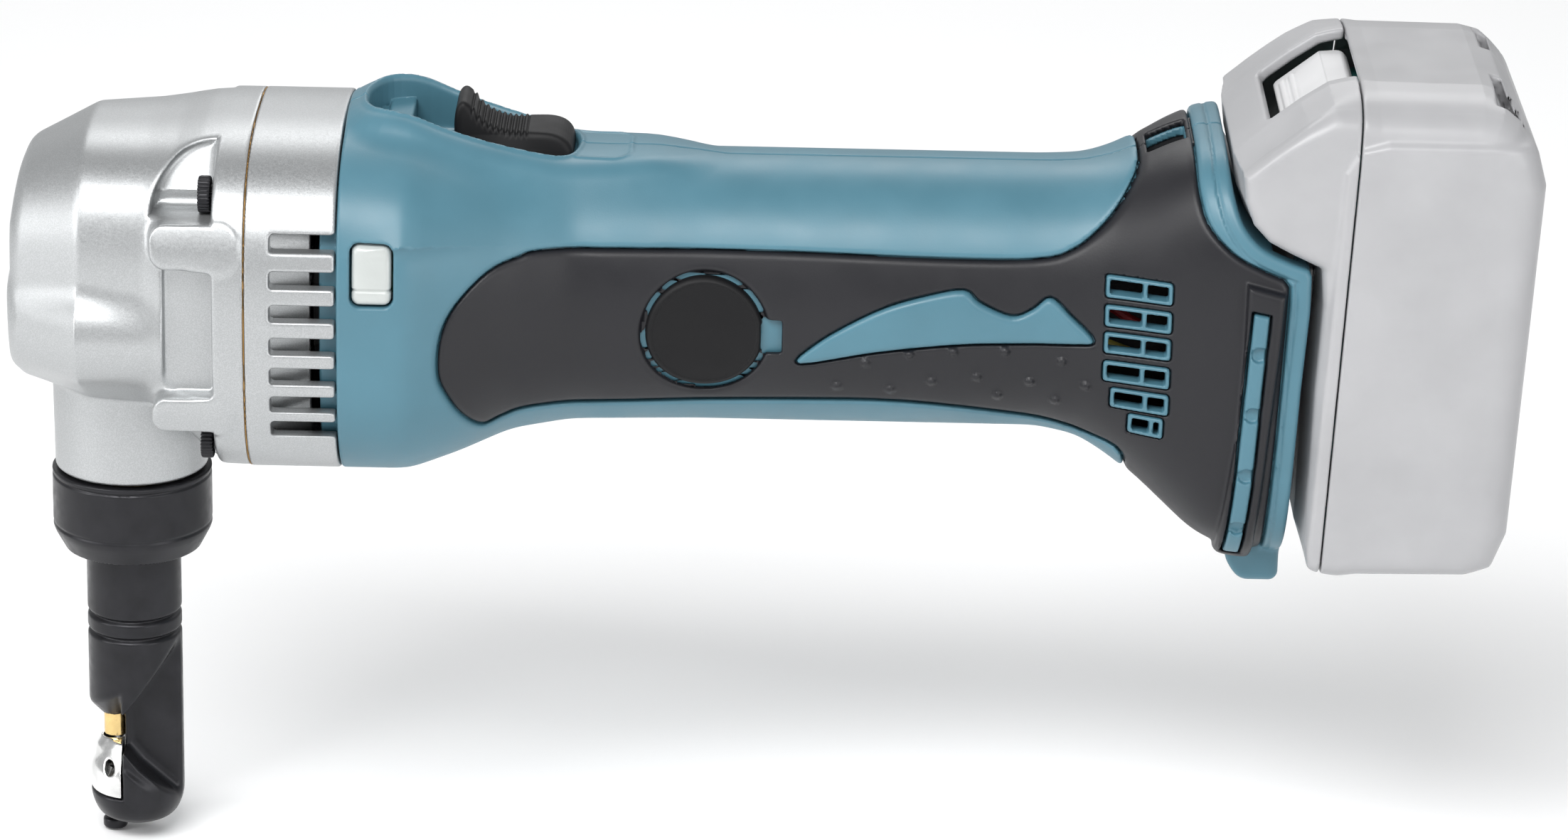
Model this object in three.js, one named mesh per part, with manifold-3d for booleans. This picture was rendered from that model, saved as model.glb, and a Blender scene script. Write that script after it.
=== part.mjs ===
// Cordless nibbler, in millimetres. +X runs from the cutting head to the battery, +Z is up, and the
// tool is symmetric about y = 0 apart from its screws and leads. z = 0 is the underside of the die bolt.
import * as THREE from "three";
import { mergeVertices } from "three/addons/utils/BufferGeometryUtils.js";
import Module from "manifold-3d";

const wasm = await Module();
wasm.setup();

// ---------------------------------------------------------------- driving dimensions
const FRONT_X = -156.5; // nose of the gear housing
const BACK_X = 156.5; // back of the battery
const MOTOR_Z = 126.4; // motor and handle axis
const CRANK_Z = MOTOR_Z + 15; // crankshaft axis, one gear centre distance above the motor
const HEAD_X = -134.2; // vertical axis of the ram, lock nut and die holder
const PUNCH_X = -138.7; // the cutting tip stands forward of that axis
const GAP = 0.3; // between pieces that touch
const SEAM_COVER_X = -106.6; // gear housing to cover
const SEAM_BODY_X = -88; // cover to plastic housing
const HEAD_HALF_WIDTH = 40;
const HEAD_HALF_HEIGHT = 36.5;
const WALL = 2.4; // plastic wall
const SKIN = 1.6; // soft grip moulded over it
const HOUSING_WALL = WALL + SKIN;
const PACK_LEAN = Math.tan(THREE.MathUtils.degToRad(2.5)); // battery leans back
const REAR_X = 108.6; // rear face of the housing at REAR_Z
const REAR_Z = 117.6;
const PACK_HALF_WIDTH = 38;
const PACK_TOP_Z = 180;
const PACK_BOTTOM_Z = 75.8;
const CRANK_THROW = 2.5; // gives a 5 mm stroke
const STROKE_UP = 1.6; // from the pose shown to the top of the stroke
const STROKE_DOWN = 2 * CRANK_THROW - STROKE_UP;
const GEAR_MODULE = 2 / 3;
const PINION_TEETH = 9;
const GEAR_TEETH = 36;
const CELL_RADIUS = 8.9; // battery cells
const CELL_PITCH = 17.7;
const CELL_LENGTH = 65;
const DISC_X = -13.35; // brush cover
const DISC_Z = 123.7;
const DISC_RADIUS = 12.15;

// Sections of the plastic body: x, top z, bottom z, half width, squareness of the superellipse.
const BODY_SECTIONS = [
  [-88, 163, 89.9, 40, 3],
  [-74, 163, 89.9, 40, 3],
  [-63.5, 160, 92.9, 35, 2.8],
  [-53.5, 157.4, 96.5, 30, 2.5],
  [-38, 155.4, 98.3, 26, 2.3],
  [59, 155, 98.2, 25.3, 2.25],
  [70.5, 156.8, 93.4, 27.4, 2.5],
  [82.5, 162.2, 84.3, 31.5, 3.2],
  [91, 163.9, 77.9, 34.3, 3.7],
  [113, 163.9, 75.6, 35.5, 4],
];

// ---------------------------------------------------------------- solids
const SOLID_MERGE = 1e-4;

function solidFromArrays(positions, indices) {
  const make = (triVerts) =>
    new wasm.Manifold(
      new wasm.Mesh({
        numProp: 3,
        vertProperties: new Float32Array(positions),
        triVerts: new Uint32Array(triVerts),
      }),
    );
  const made = make(indices);
  if (made.volume() >= 0) return made;
  const flipped = [];
  for (let i = 0; i < indices.length; i += 3) flipped.push(indices[i], indices[i + 2], indices[i + 1]);
  return make(flipped);
}

function solid(geometry) {
  const bare = new THREE.BufferGeometry();
  bare.setAttribute("position", geometry.getAttribute("position"));
  bare.setIndex(geometry.index);
  const merged = mergeVertices(bare, SOLID_MERGE);
  const source = merged.index.array;
  const indices = [];
  for (let i = 0; i < source.length; i += 3) {
    const [a, b, c] = [source[i], source[i + 1], source[i + 2]];
    if (a !== b && b !== c && c !== a) indices.push(a, b, c);
  }
  return solidFromArrays(merged.getAttribute("position").array, indices);
}

const SIDES = [["left", -1], ["right", 1]]; // left is -Y
const span = (side, near, far) => (side < 0 ? [-far, -near] : [near, far]);

const union = (...parts) => parts.reduce((all, part) => all.add(part));
const cut = (base, ...tools) => tools.reduce((rest, tool) => rest.subtract(tool), base);
const common = (...parts) => parts.reduce((all, part) => all.intersect(part));

function box(x0, x1, y0, y1, z0, z1) {
  const geometry = new THREE.BoxGeometry(x1 - x0, y1 - y0, z1 - z0);
  return solid(geometry.translate((x0 + x1) / 2, (y0 + y1) / 2, (z0 + z1) / 2));
}

// Turns a geometry built along +Y to lie along x, y or z.
const TURN = {
  x: new THREE.Matrix4().makeRotationZ(-Math.PI / 2),
  y: new THREE.Matrix4(),
  z: new THREE.Matrix4().makeRotationX(Math.PI / 2),
};

// Revolves [radius, position along the axis] points about a line through centre, parallel to axis.
function lathe(axis, profile, centre, segments = 24) {
  const points = profile.map(([radius, along]) => new THREE.Vector2(radius, along));
  if (points[0].x > 0) points.push(points[0].clone());
  const geometry = new THREE.LatheGeometry(points, segments);
  geometry.applyMatrix4(TURN[axis]);
  return solid(geometry.translate(...centre));
}

function rod(axis, radius, from, to, centre, segments = 24) {
  return lathe(axis, [[0, from], [radius, from], [radius, to], [0, to]], centre, segments);
}

function tube(axis, inner, outer, from, to, centre, segments = 24) {
  return lathe(axis, [[inner, from], [outer, from], [outer, to], [inner, to]], centre, segments);
}

const PRISM_BASIS = {
  x: [new THREE.Vector3(0, 1, 0), new THREE.Vector3(0, 0, 1), new THREE.Vector3(1, 0, 0)],
  y: [new THREE.Vector3(1, 0, 0), new THREE.Vector3(0, 0, 1), new THREE.Vector3(0, -1, 0)],
  z: [new THREE.Vector3(1, 0, 0), new THREE.Vector3(0, 1, 0), new THREE.Vector3(0, 0, 1)],
};

// Extrudes an outline along an axis. The outline is in (y, z) for x, (x, z) for y and (x, y) for z.
function prism(axis, outline, from, to) {
  const shape = new THREE.Shape(outline.map(([a, b]) => new THREE.Vector2(a, b)));
  const geometry = new THREE.ExtrudeGeometry(shape, { depth: to - from, bevelEnabled: false });
  geometry.applyMatrix4(new THREE.Matrix4().makeBasis(...PRISM_BASIS[axis]));
  const shift = { x: [from, 0, 0], y: [0, to, 0], z: [0, 0, from] }[axis];
  return solid(geometry.translate(...shift));
}

// A closed smooth outline through points, as count short sides.
function smoothOutline(points, count) {
  return smoothLine(points, count, true).slice(0, count);
}

// An open smooth line through points, as count straight steps.
function smoothLine(points, count, closed = false) {
  const knots = points.map(([a, b]) => new THREE.Vector3(a, b, 0));
  const curve = new THREE.CatmullRomCurve3(knots, closed, "centripetal");
  return curve.getPoints(count).map((p) => [p.x, p.y]);
}

// Rectangle with rounded corners, centred on (cx, cy).
function roundedRectangle(cx, cy, width, height, radius, steps = 3) {
  const outline = [];
  const corners = [[1, 1], [-1, 1], [-1, -1], [1, -1]];
  corners.forEach(([sx, sy], corner) => {
    for (let i = 0; i <= steps; i += 1) {
      const angle = (corner + i / steps) * (Math.PI / 2);
      outline.push([
        cx + sx * (width / 2 - radius) + radius * Math.cos(angle),
        cy + sy * (height / 2 - radius) + radius * Math.sin(angle),
      ]);
    }
  });
  return outline;
}

// ---------------------------------------------------------------- lofts of superellipse sections
const RING_POINTS = 24;

function superRing(x, top, bottom, halfWidth, power, points = RING_POINTS) {
  const middle = (top + bottom) / 2;
  const halfHeight = (top - bottom) / 2;
  const ring = [];
  for (let i = 0; i < points; i += 1) {
    const angle = (2 * Math.PI * i) / points;
    const c = Math.cos(angle);
    const s = Math.sin(angle);
    const y = halfWidth * Math.sign(c) * Math.abs(c) ** (2 / power);
    const z = middle + halfHeight * Math.sign(s) * Math.abs(s) ** (2 / power);
    ring.push([x, y, z]);
  }
  return ring;
}

function loftRings(rings) {
  const count = rings[0].length;
  const positions = rings.flat(2);
  const indices = [];
  for (let r = 0; r + 1 < rings.length; r += 1) {
    for (let i = 0; i < count; i += 1) {
      const j = (i + 1) % count;
      const [a, b] = [r * count + i, r * count + j];
      indices.push(a, b, a + count, b, b + count, a + count);
    }
  }
  const last = (rings.length - 1) * count;
  for (let i = 1; i + 1 < count; i += 1) {
    indices.push(0, i + 1, i, last, last + i, last + i + 1);
  }
  return solidFromArrays(positions, indices);
}

const loft = (sections, points) => loftRings(sections.map((section) => superRing(...section, points)));

function sectionAt(x) {
  const after = BODY_SECTIONS.findIndex((section) => section[0] >= x);
  if (after <= 0) return [x, ...BODY_SECTIONS[0].slice(1)];
  const [low, high] = [BODY_SECTIONS[after - 1], BODY_SECTIONS[after]];
  const share = (x - low[0]) / (high[0] - low[0]);
  return low.map((value, i) => THREE.MathUtils.lerp(value, high[i], share));
}

// The plastic body's outer surface, moved inwards by inset, from one x to another.
function bodyLoft(inset, from, to) {
  const between = BODY_SECTIONS.map((s) => s[0]).filter((x) => x > from + 0.1 && x < to - 0.1);
  return loft(
    [from, ...between, to].map((x) => {
      const [, top, bottom, halfWidth, power] = sectionAt(x);
      return [x, top - inset, bottom + inset, halfWidth - inset, power];
    }),
  );
}

// ---------------------------------------------------------------- the scene graph
const nibbler = new THREE.Group();
const head = new THREE.Group();
const drive = new THREE.Group();
const handle = new THREE.Group();
const battery = new THREE.Group();
nibbler.add(head, drive, handle, battery);
drive.position.z = MOTOR_Z; // the drive's pieces are built about their own axis

const MATERIALS = {
  cast_aluminium: { color: 0xb4b5b7, roughness: 0.45, metalness: 0.6 },
  housing_plastic: { color: 0x6896a6, roughness: 0.4, metalness: 0 },
  soft_grip: { color: 0x333438, roughness: 0.65, metalness: 0 },
  switch_plastic: { color: 0x29282e, roughness: 0.5, metalness: 0 },
  black_oxide_steel: { color: 0x333335, roughness: 0.4, metalness: 0.8 },
  tool_steel: { color: 0xe8e8e6, roughness: 0.25, metalness: 1 },
  coated_punch: { color: 0xbfaf8b, roughness: 0.3, metalness: 1 },
  bearing_steel: { color: 0xc8c9cc, roughness: 0.25, metalness: 1 },
  motor_steel: { color: 0x8d8f93, roughness: 0.4, metalness: 0.9 },
  copper: { color: 0xb87345, roughness: 0.35, metalness: 1 },
  sintered_bronze: { color: 0x9c7a4a, roughness: 0.5, metalness: 0.9 },
  carbon: { color: 0x2b2b2b, roughness: 0.8, metalness: 0 },
  lens_plastic: { color: 0xd6d6d6, roughness: 0.3, metalness: 0 },
  inner_plastic: { color: 0x1f2023, roughness: 0.6, metalness: 0 },
  circuit_board: { color: 0x2f6b45, roughness: 0.6, metalness: 0 },
  pack_plastic: { color: 0xc7c7c9, roughness: 0.45, metalness: 0 },
  release_plastic: { color: 0xe9e9ea, roughness: 0.45, metalness: 0 },
  cell_wrap: { color: 0x3f8f8a, roughness: 0.4, metalness: 0 },
  yellow_lead: { color: 0xc9b75a, roughness: 0.5, metalness: 0 },
  red_lead: { color: 0x9a2a2a, roughness: 0.5, metalness: 0 },
};

function addPiece(group, name, shape, material) {
  const data = shape.getMesh();
  const geometry = new THREE.BufferGeometry();
  geometry.setAttribute("position", new THREE.BufferAttribute(new Float32Array(data.vertProperties), 3));
  geometry.setIndex(new THREE.BufferAttribute(new Uint32Array(data.triVerts), 1));
  geometry.computeVertexNormals();
  const mesh = new THREE.Mesh(geometry, new THREE.MeshStandardMaterial(MATERIALS[material]));
  mesh.name = name;
  group.add(mesh);
}

// ---------------------------------------------------------------- gear housing, cover and their screws
const HEAD_SCREW_Y = 28.5;
const HEAD_SCREW_Z = 26.5; // above and below the motor axis
const HEAD_SCREW_RADIUS = 2;
const HEAD_SCREW_HEAD = 3.7;
const SCREW_SEAT_X = -113.5;
const NECK_RADIUS = 16.6;
const NECK_BOTTOM_Z = 84;
const BUSH_RADIUS = 8;
const BUSH_TOP_Z = 118;
const RAM_RADIUS = 4.6;

const RAM_ROOM_TOP_Z = 155.2;

// Centres of the four head screws, as [side, level, centre].
const screwPlaces = [-1, 1].flatMap((side) =>
  [1, -1].map((level) => [side, level, [0, side * HEAD_SCREW_Y, MOTOR_Z + level * HEAD_SCREW_Z]]),
);

function headSection(x, inset = 0) {
  const halfHeight = HEAD_HALF_HEIGHT - inset;
  return [x, MOTOR_Z + halfHeight, MOTOR_Z - halfHeight, HEAD_HALF_WIDTH - inset, 3];
}

// The four bosses or holes round the head screws, from one x to another.
const atHeadScrews = (radius, from, to, segments) =>
  screwPlaces.map(([, , centre]) => rod("x", radius, from, to, centre, segments));

function gearHousing() {
  const nose = loft([
    [FRONT_X, 143, 117, 15, 2.4],
    [-155.4, 148, 106.5, 20, 2.6],
    [-153, 152.6, 104, 24, 2.8],
    [-149.5, 154.8, 103.5, 27, 2.9],
    [-138.5, 158.6, 103, 29.5, 3],
    [-122, 160, 103, 31, 3],
    [-117, 161, 98, 34, 3],
    [-113, 162.4, 92, 37.5, 3],
  ]);
  const sideBulge = loft([
    [-156, 133, 114, 12, 2.2],
    [-154.6, 136, 110, 22, 2.2],
    [-150, 137.5, 108.5, 28, 2.2],
    [-140, 136, 108, 33, 2.2],
    [-128, 135.5, 109, 34, 2.2],
    [-118, 135, 109.5, 34, 2.2],
  ], 16);
  const flange = loft([headSection(-117), headSection(SEAM_COVER_X - GAP / 2)]);
  const neck = rod("z", NECK_RADIUS, NECK_BOTTOM_Z, 120, [HEAD_X, 0, 0], 28);
  const gearRoom = loft([
    [-151, 152, 108, 21, 2.6],
    [-142, 156.6, 106, 24, 2.8],
    [-118, 157, 106, 26, 3],
    [-106, 157, 97, 30, 3],
  ], 16);
  const bearingWall = cut(
    loft([[-128, 159, 105, 29, 3], [-121, 159, 105, 29, 3]], 16),
    rod("x", 11.2, -129, -120, [0, 0, CRANK_Z]),
    box(-129, -120, -12, 12, 104, CRANK_Z - 14),
  );
  const pockets = screwPlaces.map(([side, level, [, , z]]) => {
    const [z0, z1] = level < 0 ? [z - 14, z + 6] : [z - 6, z + 7.5];
    return box(-124, SCREW_SEAT_X, ...span(side, HEAD_SCREW_Y - 5, 45), z0, z1);
  });
  const sidePanels = SIDES.map(([, side]) => box(-124, -113, ...span(side, 36.4, 45), 112, 140));
  const shell = cut(union(nose, sideBulge, flange, neck), ...pockets, ...sidePanels);
  const bossAround = common(
    union(nose, flange),
    union(...atHeadScrews(5.4, SCREW_SEAT_X, SEAM_COVER_X - GAP / 2, 16)),
  );
  return cut(
    union(cut(shell, gearRoom), bossAround, common(bearingWall, union(nose, sideBulge))),
    rod("z", BUSH_RADIUS + GAP, NECK_BOTTOM_Z + 12, BUSH_TOP_Z + 10, [HEAD_X, 0, 0], 24),
    rod("z", 12.6, NECK_BOTTOM_Z - 1, NECK_BOTTOM_Z + 12, [HEAD_X, 0, 0], 24),
    box(HEAD_X - 9.2, HEAD_X + 5, -9.2, 9.2, BUSH_TOP_Z, RAM_ROOM_TOP_Z),
    ...atHeadScrews(HEAD_SCREW_RADIUS + GAP, -125, -100, 12),
  );
}

const VENT_LEVELS = [145.6, 138.3, 131.3, 124.3, 117.8, 111.5, 105.7];
const VENT_HEIGHT = 3.4;
const VENT_FRONT_X = -101.3;
const BEARING_FRONT = { from: -102.6, to: -97, inner: 3.6, outer: 9.5 };

function gearHousingCover() {
  const outside = loft([headSection(SEAM_COVER_X + GAP / 2), headSection(SEAM_BODY_X - GAP / 2)]);
  const inside = loft([headSection(-102.8, 3.4), headSection(-80, 3.4)]);
  const bearingSeat = rod("x", 12.4, -106.3, -96.8, [0, 0, MOTOR_Z], 24);
  const screwBosses = atHeadScrews(4.6, -106.3, -92, 12);
  const vents = VENT_LEVELS.map((z) => {
    return box(VENT_FRONT_X, -80, -45, 45, z - VENT_HEIGHT / 2, z + VENT_HEIGHT / 2);
  });
  const sides = cut(outside, inside, ...vents);
  return cut(
    union(sides, common(outside, union(bearingSeat, ...screwBosses))),
    rod("x", BEARING_FRONT.outer + 0.1, BEARING_FRONT.from - 0.1, -80, [0, 0, MOTOR_Z], 24),
    rod("x", 5, -110, -100, [0, 0, MOTOR_Z], 20),
    rod("x", 8.1, -110, -104.4, [0, 0, CRANK_Z], 20),
    ...atHeadScrews(HEAD_SCREW_RADIUS + GAP, -108, -90, 12),
  );
}

addPiece(head, "gear_housing", gearHousing(), "cast_aluminium");
addPiece(head, "gear_housing_cover", gearHousingCover(), "cast_aluminium");

screwPlaces.forEach(([, , centre], i) => {
  const seat = SCREW_SEAT_X - GAP;
  const profile = [
    [0, seat - 3.4], [HEAD_SCREW_HEAD, seat - 3.4], [HEAD_SCREW_HEAD, seat],
    [HEAD_SCREW_RADIUS, seat], [HEAD_SCREW_RADIUS, -94], [0, -94],
  ];
  const screw = cut(lathe("x", profile, centre, 12), rod("x", 1.7, seat - 4, seat - 1.6, centre, 6));
  addPiece(head, `head_screw_${i + 1}`, screw, "black_oxide_steel");
});

// ---------------------------------------------------------------- crankshaft, gears and bearings
// Outline of a spur gear with straight-flanked teeth. phase turns it by that share of a tooth.
function gearOutline(teeth, phase) {
  const pitchRadius = (teeth * GEAR_MODULE) / 2;
  const tip = pitchRadius + 0.85 * GEAR_MODULE;
  const root = pitchRadius - 1.15 * GEAR_MODULE;
  const outline = [];
  for (let i = 0; i < teeth; i += 1) {
    for (const [radius, share] of [[root, -0.3], [tip, -0.1], [tip, 0.1], [root, 0.3]]) {
      const angle = (2 * Math.PI * (i + phase + share)) / teeth;
      outline.push([radius * Math.sin(angle), radius * Math.cos(angle)]);
    }
  }
  return outline;
}

const shifted = (outline, dy, dz) => outline.map(([y, z]) => [y + dy, z + dz]);
const crankCentre = [0, 0, CRANK_Z - MOTOR_Z];
const axisCentre = [0, 0, 0];
const pinCentre = [0, 0, CRANK_Z - MOTOR_Z + CRANK_THROW];

const CRANK_PROFILE = [
  [0, -127.9], [8, -127.9], [8, -125.6], [4, -125.6], [4, -119.2], [3, -119.2], [3, -104.9], [0, -104.9],
];
const crankPin = rod("x", 2, -138.4, -127.8, pinCentre, 16);
addPiece(drive, "crankshaft", union(lathe("x", CRANK_PROFILE, crankCentre), crankPin), "bearing_steel");

const driveGear = cut(
  prism("x", shifted(gearOutline(GEAR_TEETH, 0), 0, crankCentre[2]), -117.5, -109),
  rod("x", 3 + 0.05, -120, -100, crankCentre),
  tube("x", 5.5, 9.2, -120, -115, crankCentre),
);
addPiece(drive, "drive_gear", driveGear, "motor_steel");
addPiece(drive, "crank_front_bearing", tube("x", 4.05, 11, -125.3, -120, crankCentre), "bearing_steel");
addPiece(drive, "crank_rear_bearing", tube("x", 3.05, 8, -108.6, -104.7, crankCentre, 20), "bearing_steel");
addPiece(drive, "crank_roller", tube("x", 2.05, 3, -137.9, -128.2, pinCentre, 16), "bearing_steel");

// ---------------------------------------------------------------- motor
const ROTOR_SLOTS = 8;
const ROTOR_RADIUS = 16.6;
const CAN_RADIUS = 20.4;

// One tooth of the rotor, as [radius, share of the tooth's angle].
const ROTOR_TOOTH = [
  [7.5, -0.32], [13.8, -0.2], [13.8, -0.43], [ROTOR_RADIUS, -0.43], [ROTOR_RADIUS, -0.2],
  [ROTOR_RADIUS, 0.2], [ROTOR_RADIUS, 0.43], [13.8, 0.43], [13.8, 0.2], [7.5, 0.32],
];

function rotorOutline() {
  const outline = [];
  for (let i = 0; i < ROTOR_SLOTS; i += 1) {
    for (const [radius, share] of ROTOR_TOOTH) {
      const angle = (2 * Math.PI * (i + share)) / ROTOR_SLOTS;
      outline.push([radius * Math.sin(angle), radius * Math.cos(angle)]);
    }
  }
  return outline;
}

const armatureShaft = union(
  rod("x", 2.5, -107, 6, axisCentre, 16),
  rod("x", 3.5, -103.9, -96, axisCentre, 16),
  prism("x", gearOutline(PINION_TEETH, 0.5), -117, -106.5),
);
addPiece(drive, "armature_shaft", armatureShaft, "bearing_steel");
const rotorCore = cut(prism("x", rotorOutline(), -68, -34), rod("x", 2.55, -70, -30, axisCentre, 16));
addPiece(drive, "rotor_core", rotorCore, "copper");
addPiece(drive, "commutator", tube("x", 2.55, 8, -22, -5, axisCentre), "copper");

const FAN_BLADES = 9;
const fanBlades = Array.from({ length: FAN_BLADES }, (_, i) => {
  const blade = new THREE.BoxGeometry(8, 16, 1.2).rotateX(0.35).translate(-88.6, 17.5, 0);
  return solid(blade.rotateX((2 * Math.PI * i) / FAN_BLADES));
});
const FAN_PROFILE = [
  [2.55, -95.2], [7, -95.2], [7, -93.5], [25.5, -93.5], [25.5, -92.2], [7, -92.2], [7, -85], [2.55, -85],
];
const fanDisc = lathe("x", FAN_PROFILE, axisCentre);
const fan = cut(union(fanDisc, ...fanBlades), rod("x", 2.56, -97, -80, axisCentre));
addPiece(drive, "cooling_fan", fan, "inner_plastic");
const { inner, outer, from, to } = BEARING_FRONT;
addPiece(drive, "armature_front_bearing", tube("x", inner, outer, from, to, axisCentre), "bearing_steel");
addPiece(drive, "armature_rear_bearing", tube("x", 2.6, 6.5, 1.4, 5.9, axisCentre, 20), "bearing_steel");

const canWindows = SIDES.map(([, side]) => box(-74, -66, ...span(side, 15, 23), -7, 7));
const canBody = tube("x", 17.6, CAN_RADIUS, -78, -24, axisCentre);
const canEnd = tube("x", 9, 18, -78, -76, axisCentre);
addPiece(drive, "motor_can", cut(union(canBody, canEnd), ...canWindows), "motor_steel");

const BRUSH_Z = -1.5; // the brushes lie a little below the motor axis
const brushTube = (side) =>
  union(
    box(DISC_X - 5, DISC_X + 5, ...span(side, 9.6, 20), BRUSH_Z - 5.5, BRUSH_Z + 5.5),
    box(DISC_X + 4, -1.9, ...span(side, 13, 20), BRUSH_Z - 4, BRUSH_Z + 4),
  );
const HOLDER_RIM = CAN_RADIUS - 0.2;
const HOLDER_PROFILE = [
  [3.4, -2], [HOLDER_RIM, -2], [HOLDER_RIM, 1], [9, 1], [9, 6.5], [6.6, 6.5], [6.6, 1.1], [3.4, 1.1],
];
const brushHolder = cut(
  union(lathe("x", HOLDER_PROFILE, axisCentre, 20), brushTube(-1), brushTube(1)),
  box(DISC_X - 2.8, DISC_X + 2.8, -25, 25, BRUSH_Z - 3.8, BRUSH_Z + 3.8),
);
addPiece(drive, "brush_holder", brushHolder, "inner_plastic");

for (const [name, side] of SIDES) {
  const brush = box(DISC_X - 2.5, DISC_X + 2.5, ...span(side, 8.4, 18.6), BRUSH_Z - 3.5, BRUSH_Z + 3.5);
  const disc = rod("y", 5, ...span(side, 20.3, 22), [DISC_X, 0, BRUSH_Z], 20);
  const slot = box(DISC_X - 3.5, DISC_X + 3.5, ...span(side, 21.2, 24), BRUSH_Z - 0.6, BRUSH_Z + 0.6);
  addPiece(drive, `carbon_brush_${name}`, brush, "carbon");
  addPiece(drive, `brush_cap_${name}`, cut(disc, slot), "inner_plastic");
}

// ---------------------------------------------------------------- ram, punch, lock nut, die holder and die
const ramWindow = { low: CRANK_Z - 5.5 - STROKE_UP - GAP, high: CRANK_Z + 5.5 + STROKE_DOWN + GAP };
const ram = cut(
  union(
    box(HEAD_X - 3.4, HEAD_X + 3.6, -8.2, 8.2, ramWindow.low - 3, ramWindow.high + 1.6),
    rod("z", RAM_RADIUS, 100, ramWindow.low - 2.5, [HEAD_X, 0, 0], 20),
  ),
  box(HEAD_X - 5, HEAD_X + 6, -6, 6, ramWindow.low, ramWindow.high),
  box(HEAD_X - 6, HEAD_X + 2.3, -2.3, 2.3, 103, 106.6),
  box(HEAD_X - 6, HEAD_X + 1.4, -1.5, 1.5, 99, 103.5),
);
addPiece(head, "ram", ram, "bearing_steel");
const headAxis = [HEAD_X, 0, 0];
const ramBush = tube("z", RAM_RADIUS + 0.05, BUSH_RADIUS, NECK_BOTTOM_Z + 13, BUSH_TOP_Z, headAxis);
addPiece(head, "ram_bush", ramBush, "sintered_bronze");

const PUNCH_TIP_Z = 21.9;
const SHANK_RADIUS = 4.2;
const TIP_RADIUS = 2.5;
const SHANK_PROFILE = [
  [0, 44], [SHANK_RADIUS, 44], [SHANK_RADIUS, 98], [1.2, 98], [1.2, 103.4], [2, 103.4], [2, 106], [0, 106],
];
const shank = lathe("z", SHANK_PROFILE, headAxis, 20);
const tip = rod("z", TIP_RADIUS, PUNCH_TIP_Z, 60, [PUNCH_X, 0, 0], 16);
addPiece(head, "punch", union(shank, tip), "coated_punch");

const NUT_RADIUS = 17;
const HOLDER_RADIUS = 10;
const COLLAR_RADIUS = 12.4; // the holder's collar, clamped inside the nut
const COLLAR_TOP_Z = 78;
const NUT_BORE = HOLDER_RADIUS + GAP;
const NUT_PROFILE = [
  [NUT_BORE, 66], [14.6, 66], [NUT_RADIUS, 70.8], [NUT_RADIUS, 83.7], [14.4, 83.7], [14.4, 70.4],
  [NUT_BORE, 70.4],
];
addPiece(head, "lock_nut", lathe("z", NUT_PROFILE, headAxis, 28), "black_oxide_steel");
const thrustRing = tube("z", 8.6, 12.3, COLLAR_TOP_Z + GAP, COLLAR_TOP_Z + 3.8, headAxis, 28);
addPiece(head, "thrust_ring", thrustRing, "bearing_steel");

const WEB_HALF = 2.2; // the web follows the punch through its own 5 mm kerf
const WEB_FRONT_X = -136.1;
const boltAxis = [-139.2, 0, 0];
const BASE_Z = 10;
function dieHolder() {
  const profile = [
    [0, 2.6], [7, 2.6], [9.4, 4.6], [HOLDER_RADIUS, 8], [HOLDER_RADIUS, 70.7],
    [COLLAR_RADIUS, 70.7], [COLLAR_RADIUS, COLLAR_TOP_Z], [0, COLLAR_TOP_Z],
  ];
  const barrel = lathe("z", profile, headAxis, 28);
  const right = HEAD_X + HOLDER_RADIUS;
  const sideCut = [[WEB_FRONT_X, 29], [right + 1, 46.5], [right + 1, 8.2], [WEB_FRONT_X, 20]];
  const throat = [
    [-150, 35.5], [-146, 34.5], [-140.5, 27.2], [WEB_FRONT_X, 27.2], [WEB_FRONT_X, BASE_Z],
    [-150, BASE_Z],
  ];
  return cut(
    barrel,
    prism("y", sideCut, -12, -WEB_HALF),
    prism("y", sideCut, WEB_HALF, 12),
    prism("y", throat, -12, 12),
    rod("z", SHANK_RADIUS + 0.2, 40, 90, headAxis, 24),
    rod("z", TIP_RADIUS + 0.25, 24, 62, [PUNCH_X, 0, 0], 16),
    rod("z", 1.75, 0, 12, boltAxis, 12),
  );
}
addPiece(head, "die_holder", dieHolder(), "black_oxide_steel");

const DIE_TOP_Z = 21.5;
const DIE_PROFILE = [[0, BASE_Z + GAP], [9.9, BASE_Z + GAP], [9.8, 15.5], [6.2, DIE_TOP_Z], [0, DIE_TOP_Z]];
const DIE_NOSE_PROFILE = [[0, 12], [4.6, 12], [4.6, 18], [3.4, DIE_TOP_Z], [0, DIE_TOP_Z]];
const dieNose = lathe("z", DIE_NOSE_PROFILE, [PUNCH_X, 0, 0], 20);
const dieBlock = union(lathe("z", DIE_PROFILE, headAxis, 32), dieNose);
const die = cut(
  common(dieBlock, box(-150, WEB_FRONT_X - 2 * GAP, -9.6, 9.6, 0, 30)),
  rod("z", TIP_RADIUS + 0.15, 13.5, 30, [PUNCH_X, 0, 0], 16),
  rod("y", 1.3, -12, 12, [PUNCH_X - 0.4, 0, 16.4], 12),
  rod("z", 1.7, 5, 14.5, boltAxis, 12),
);
addPiece(head, "die", die, "tool_steel");

const BOLT_PROFILE = [[0, 0], [2.2, 0], [2.6, 0.5], [2.6, 2.3], [1.5, 2.3], [1.5, 13], [0, 13]];
const dieBolt = cut(lathe("z", BOLT_PROFILE, boltAxis, 16), rod("z", 1.2, -1, 1.4, boltAxis, 6));
addPiece(head, "die_bolt", dieBolt, "black_oxide_steel");

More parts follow.
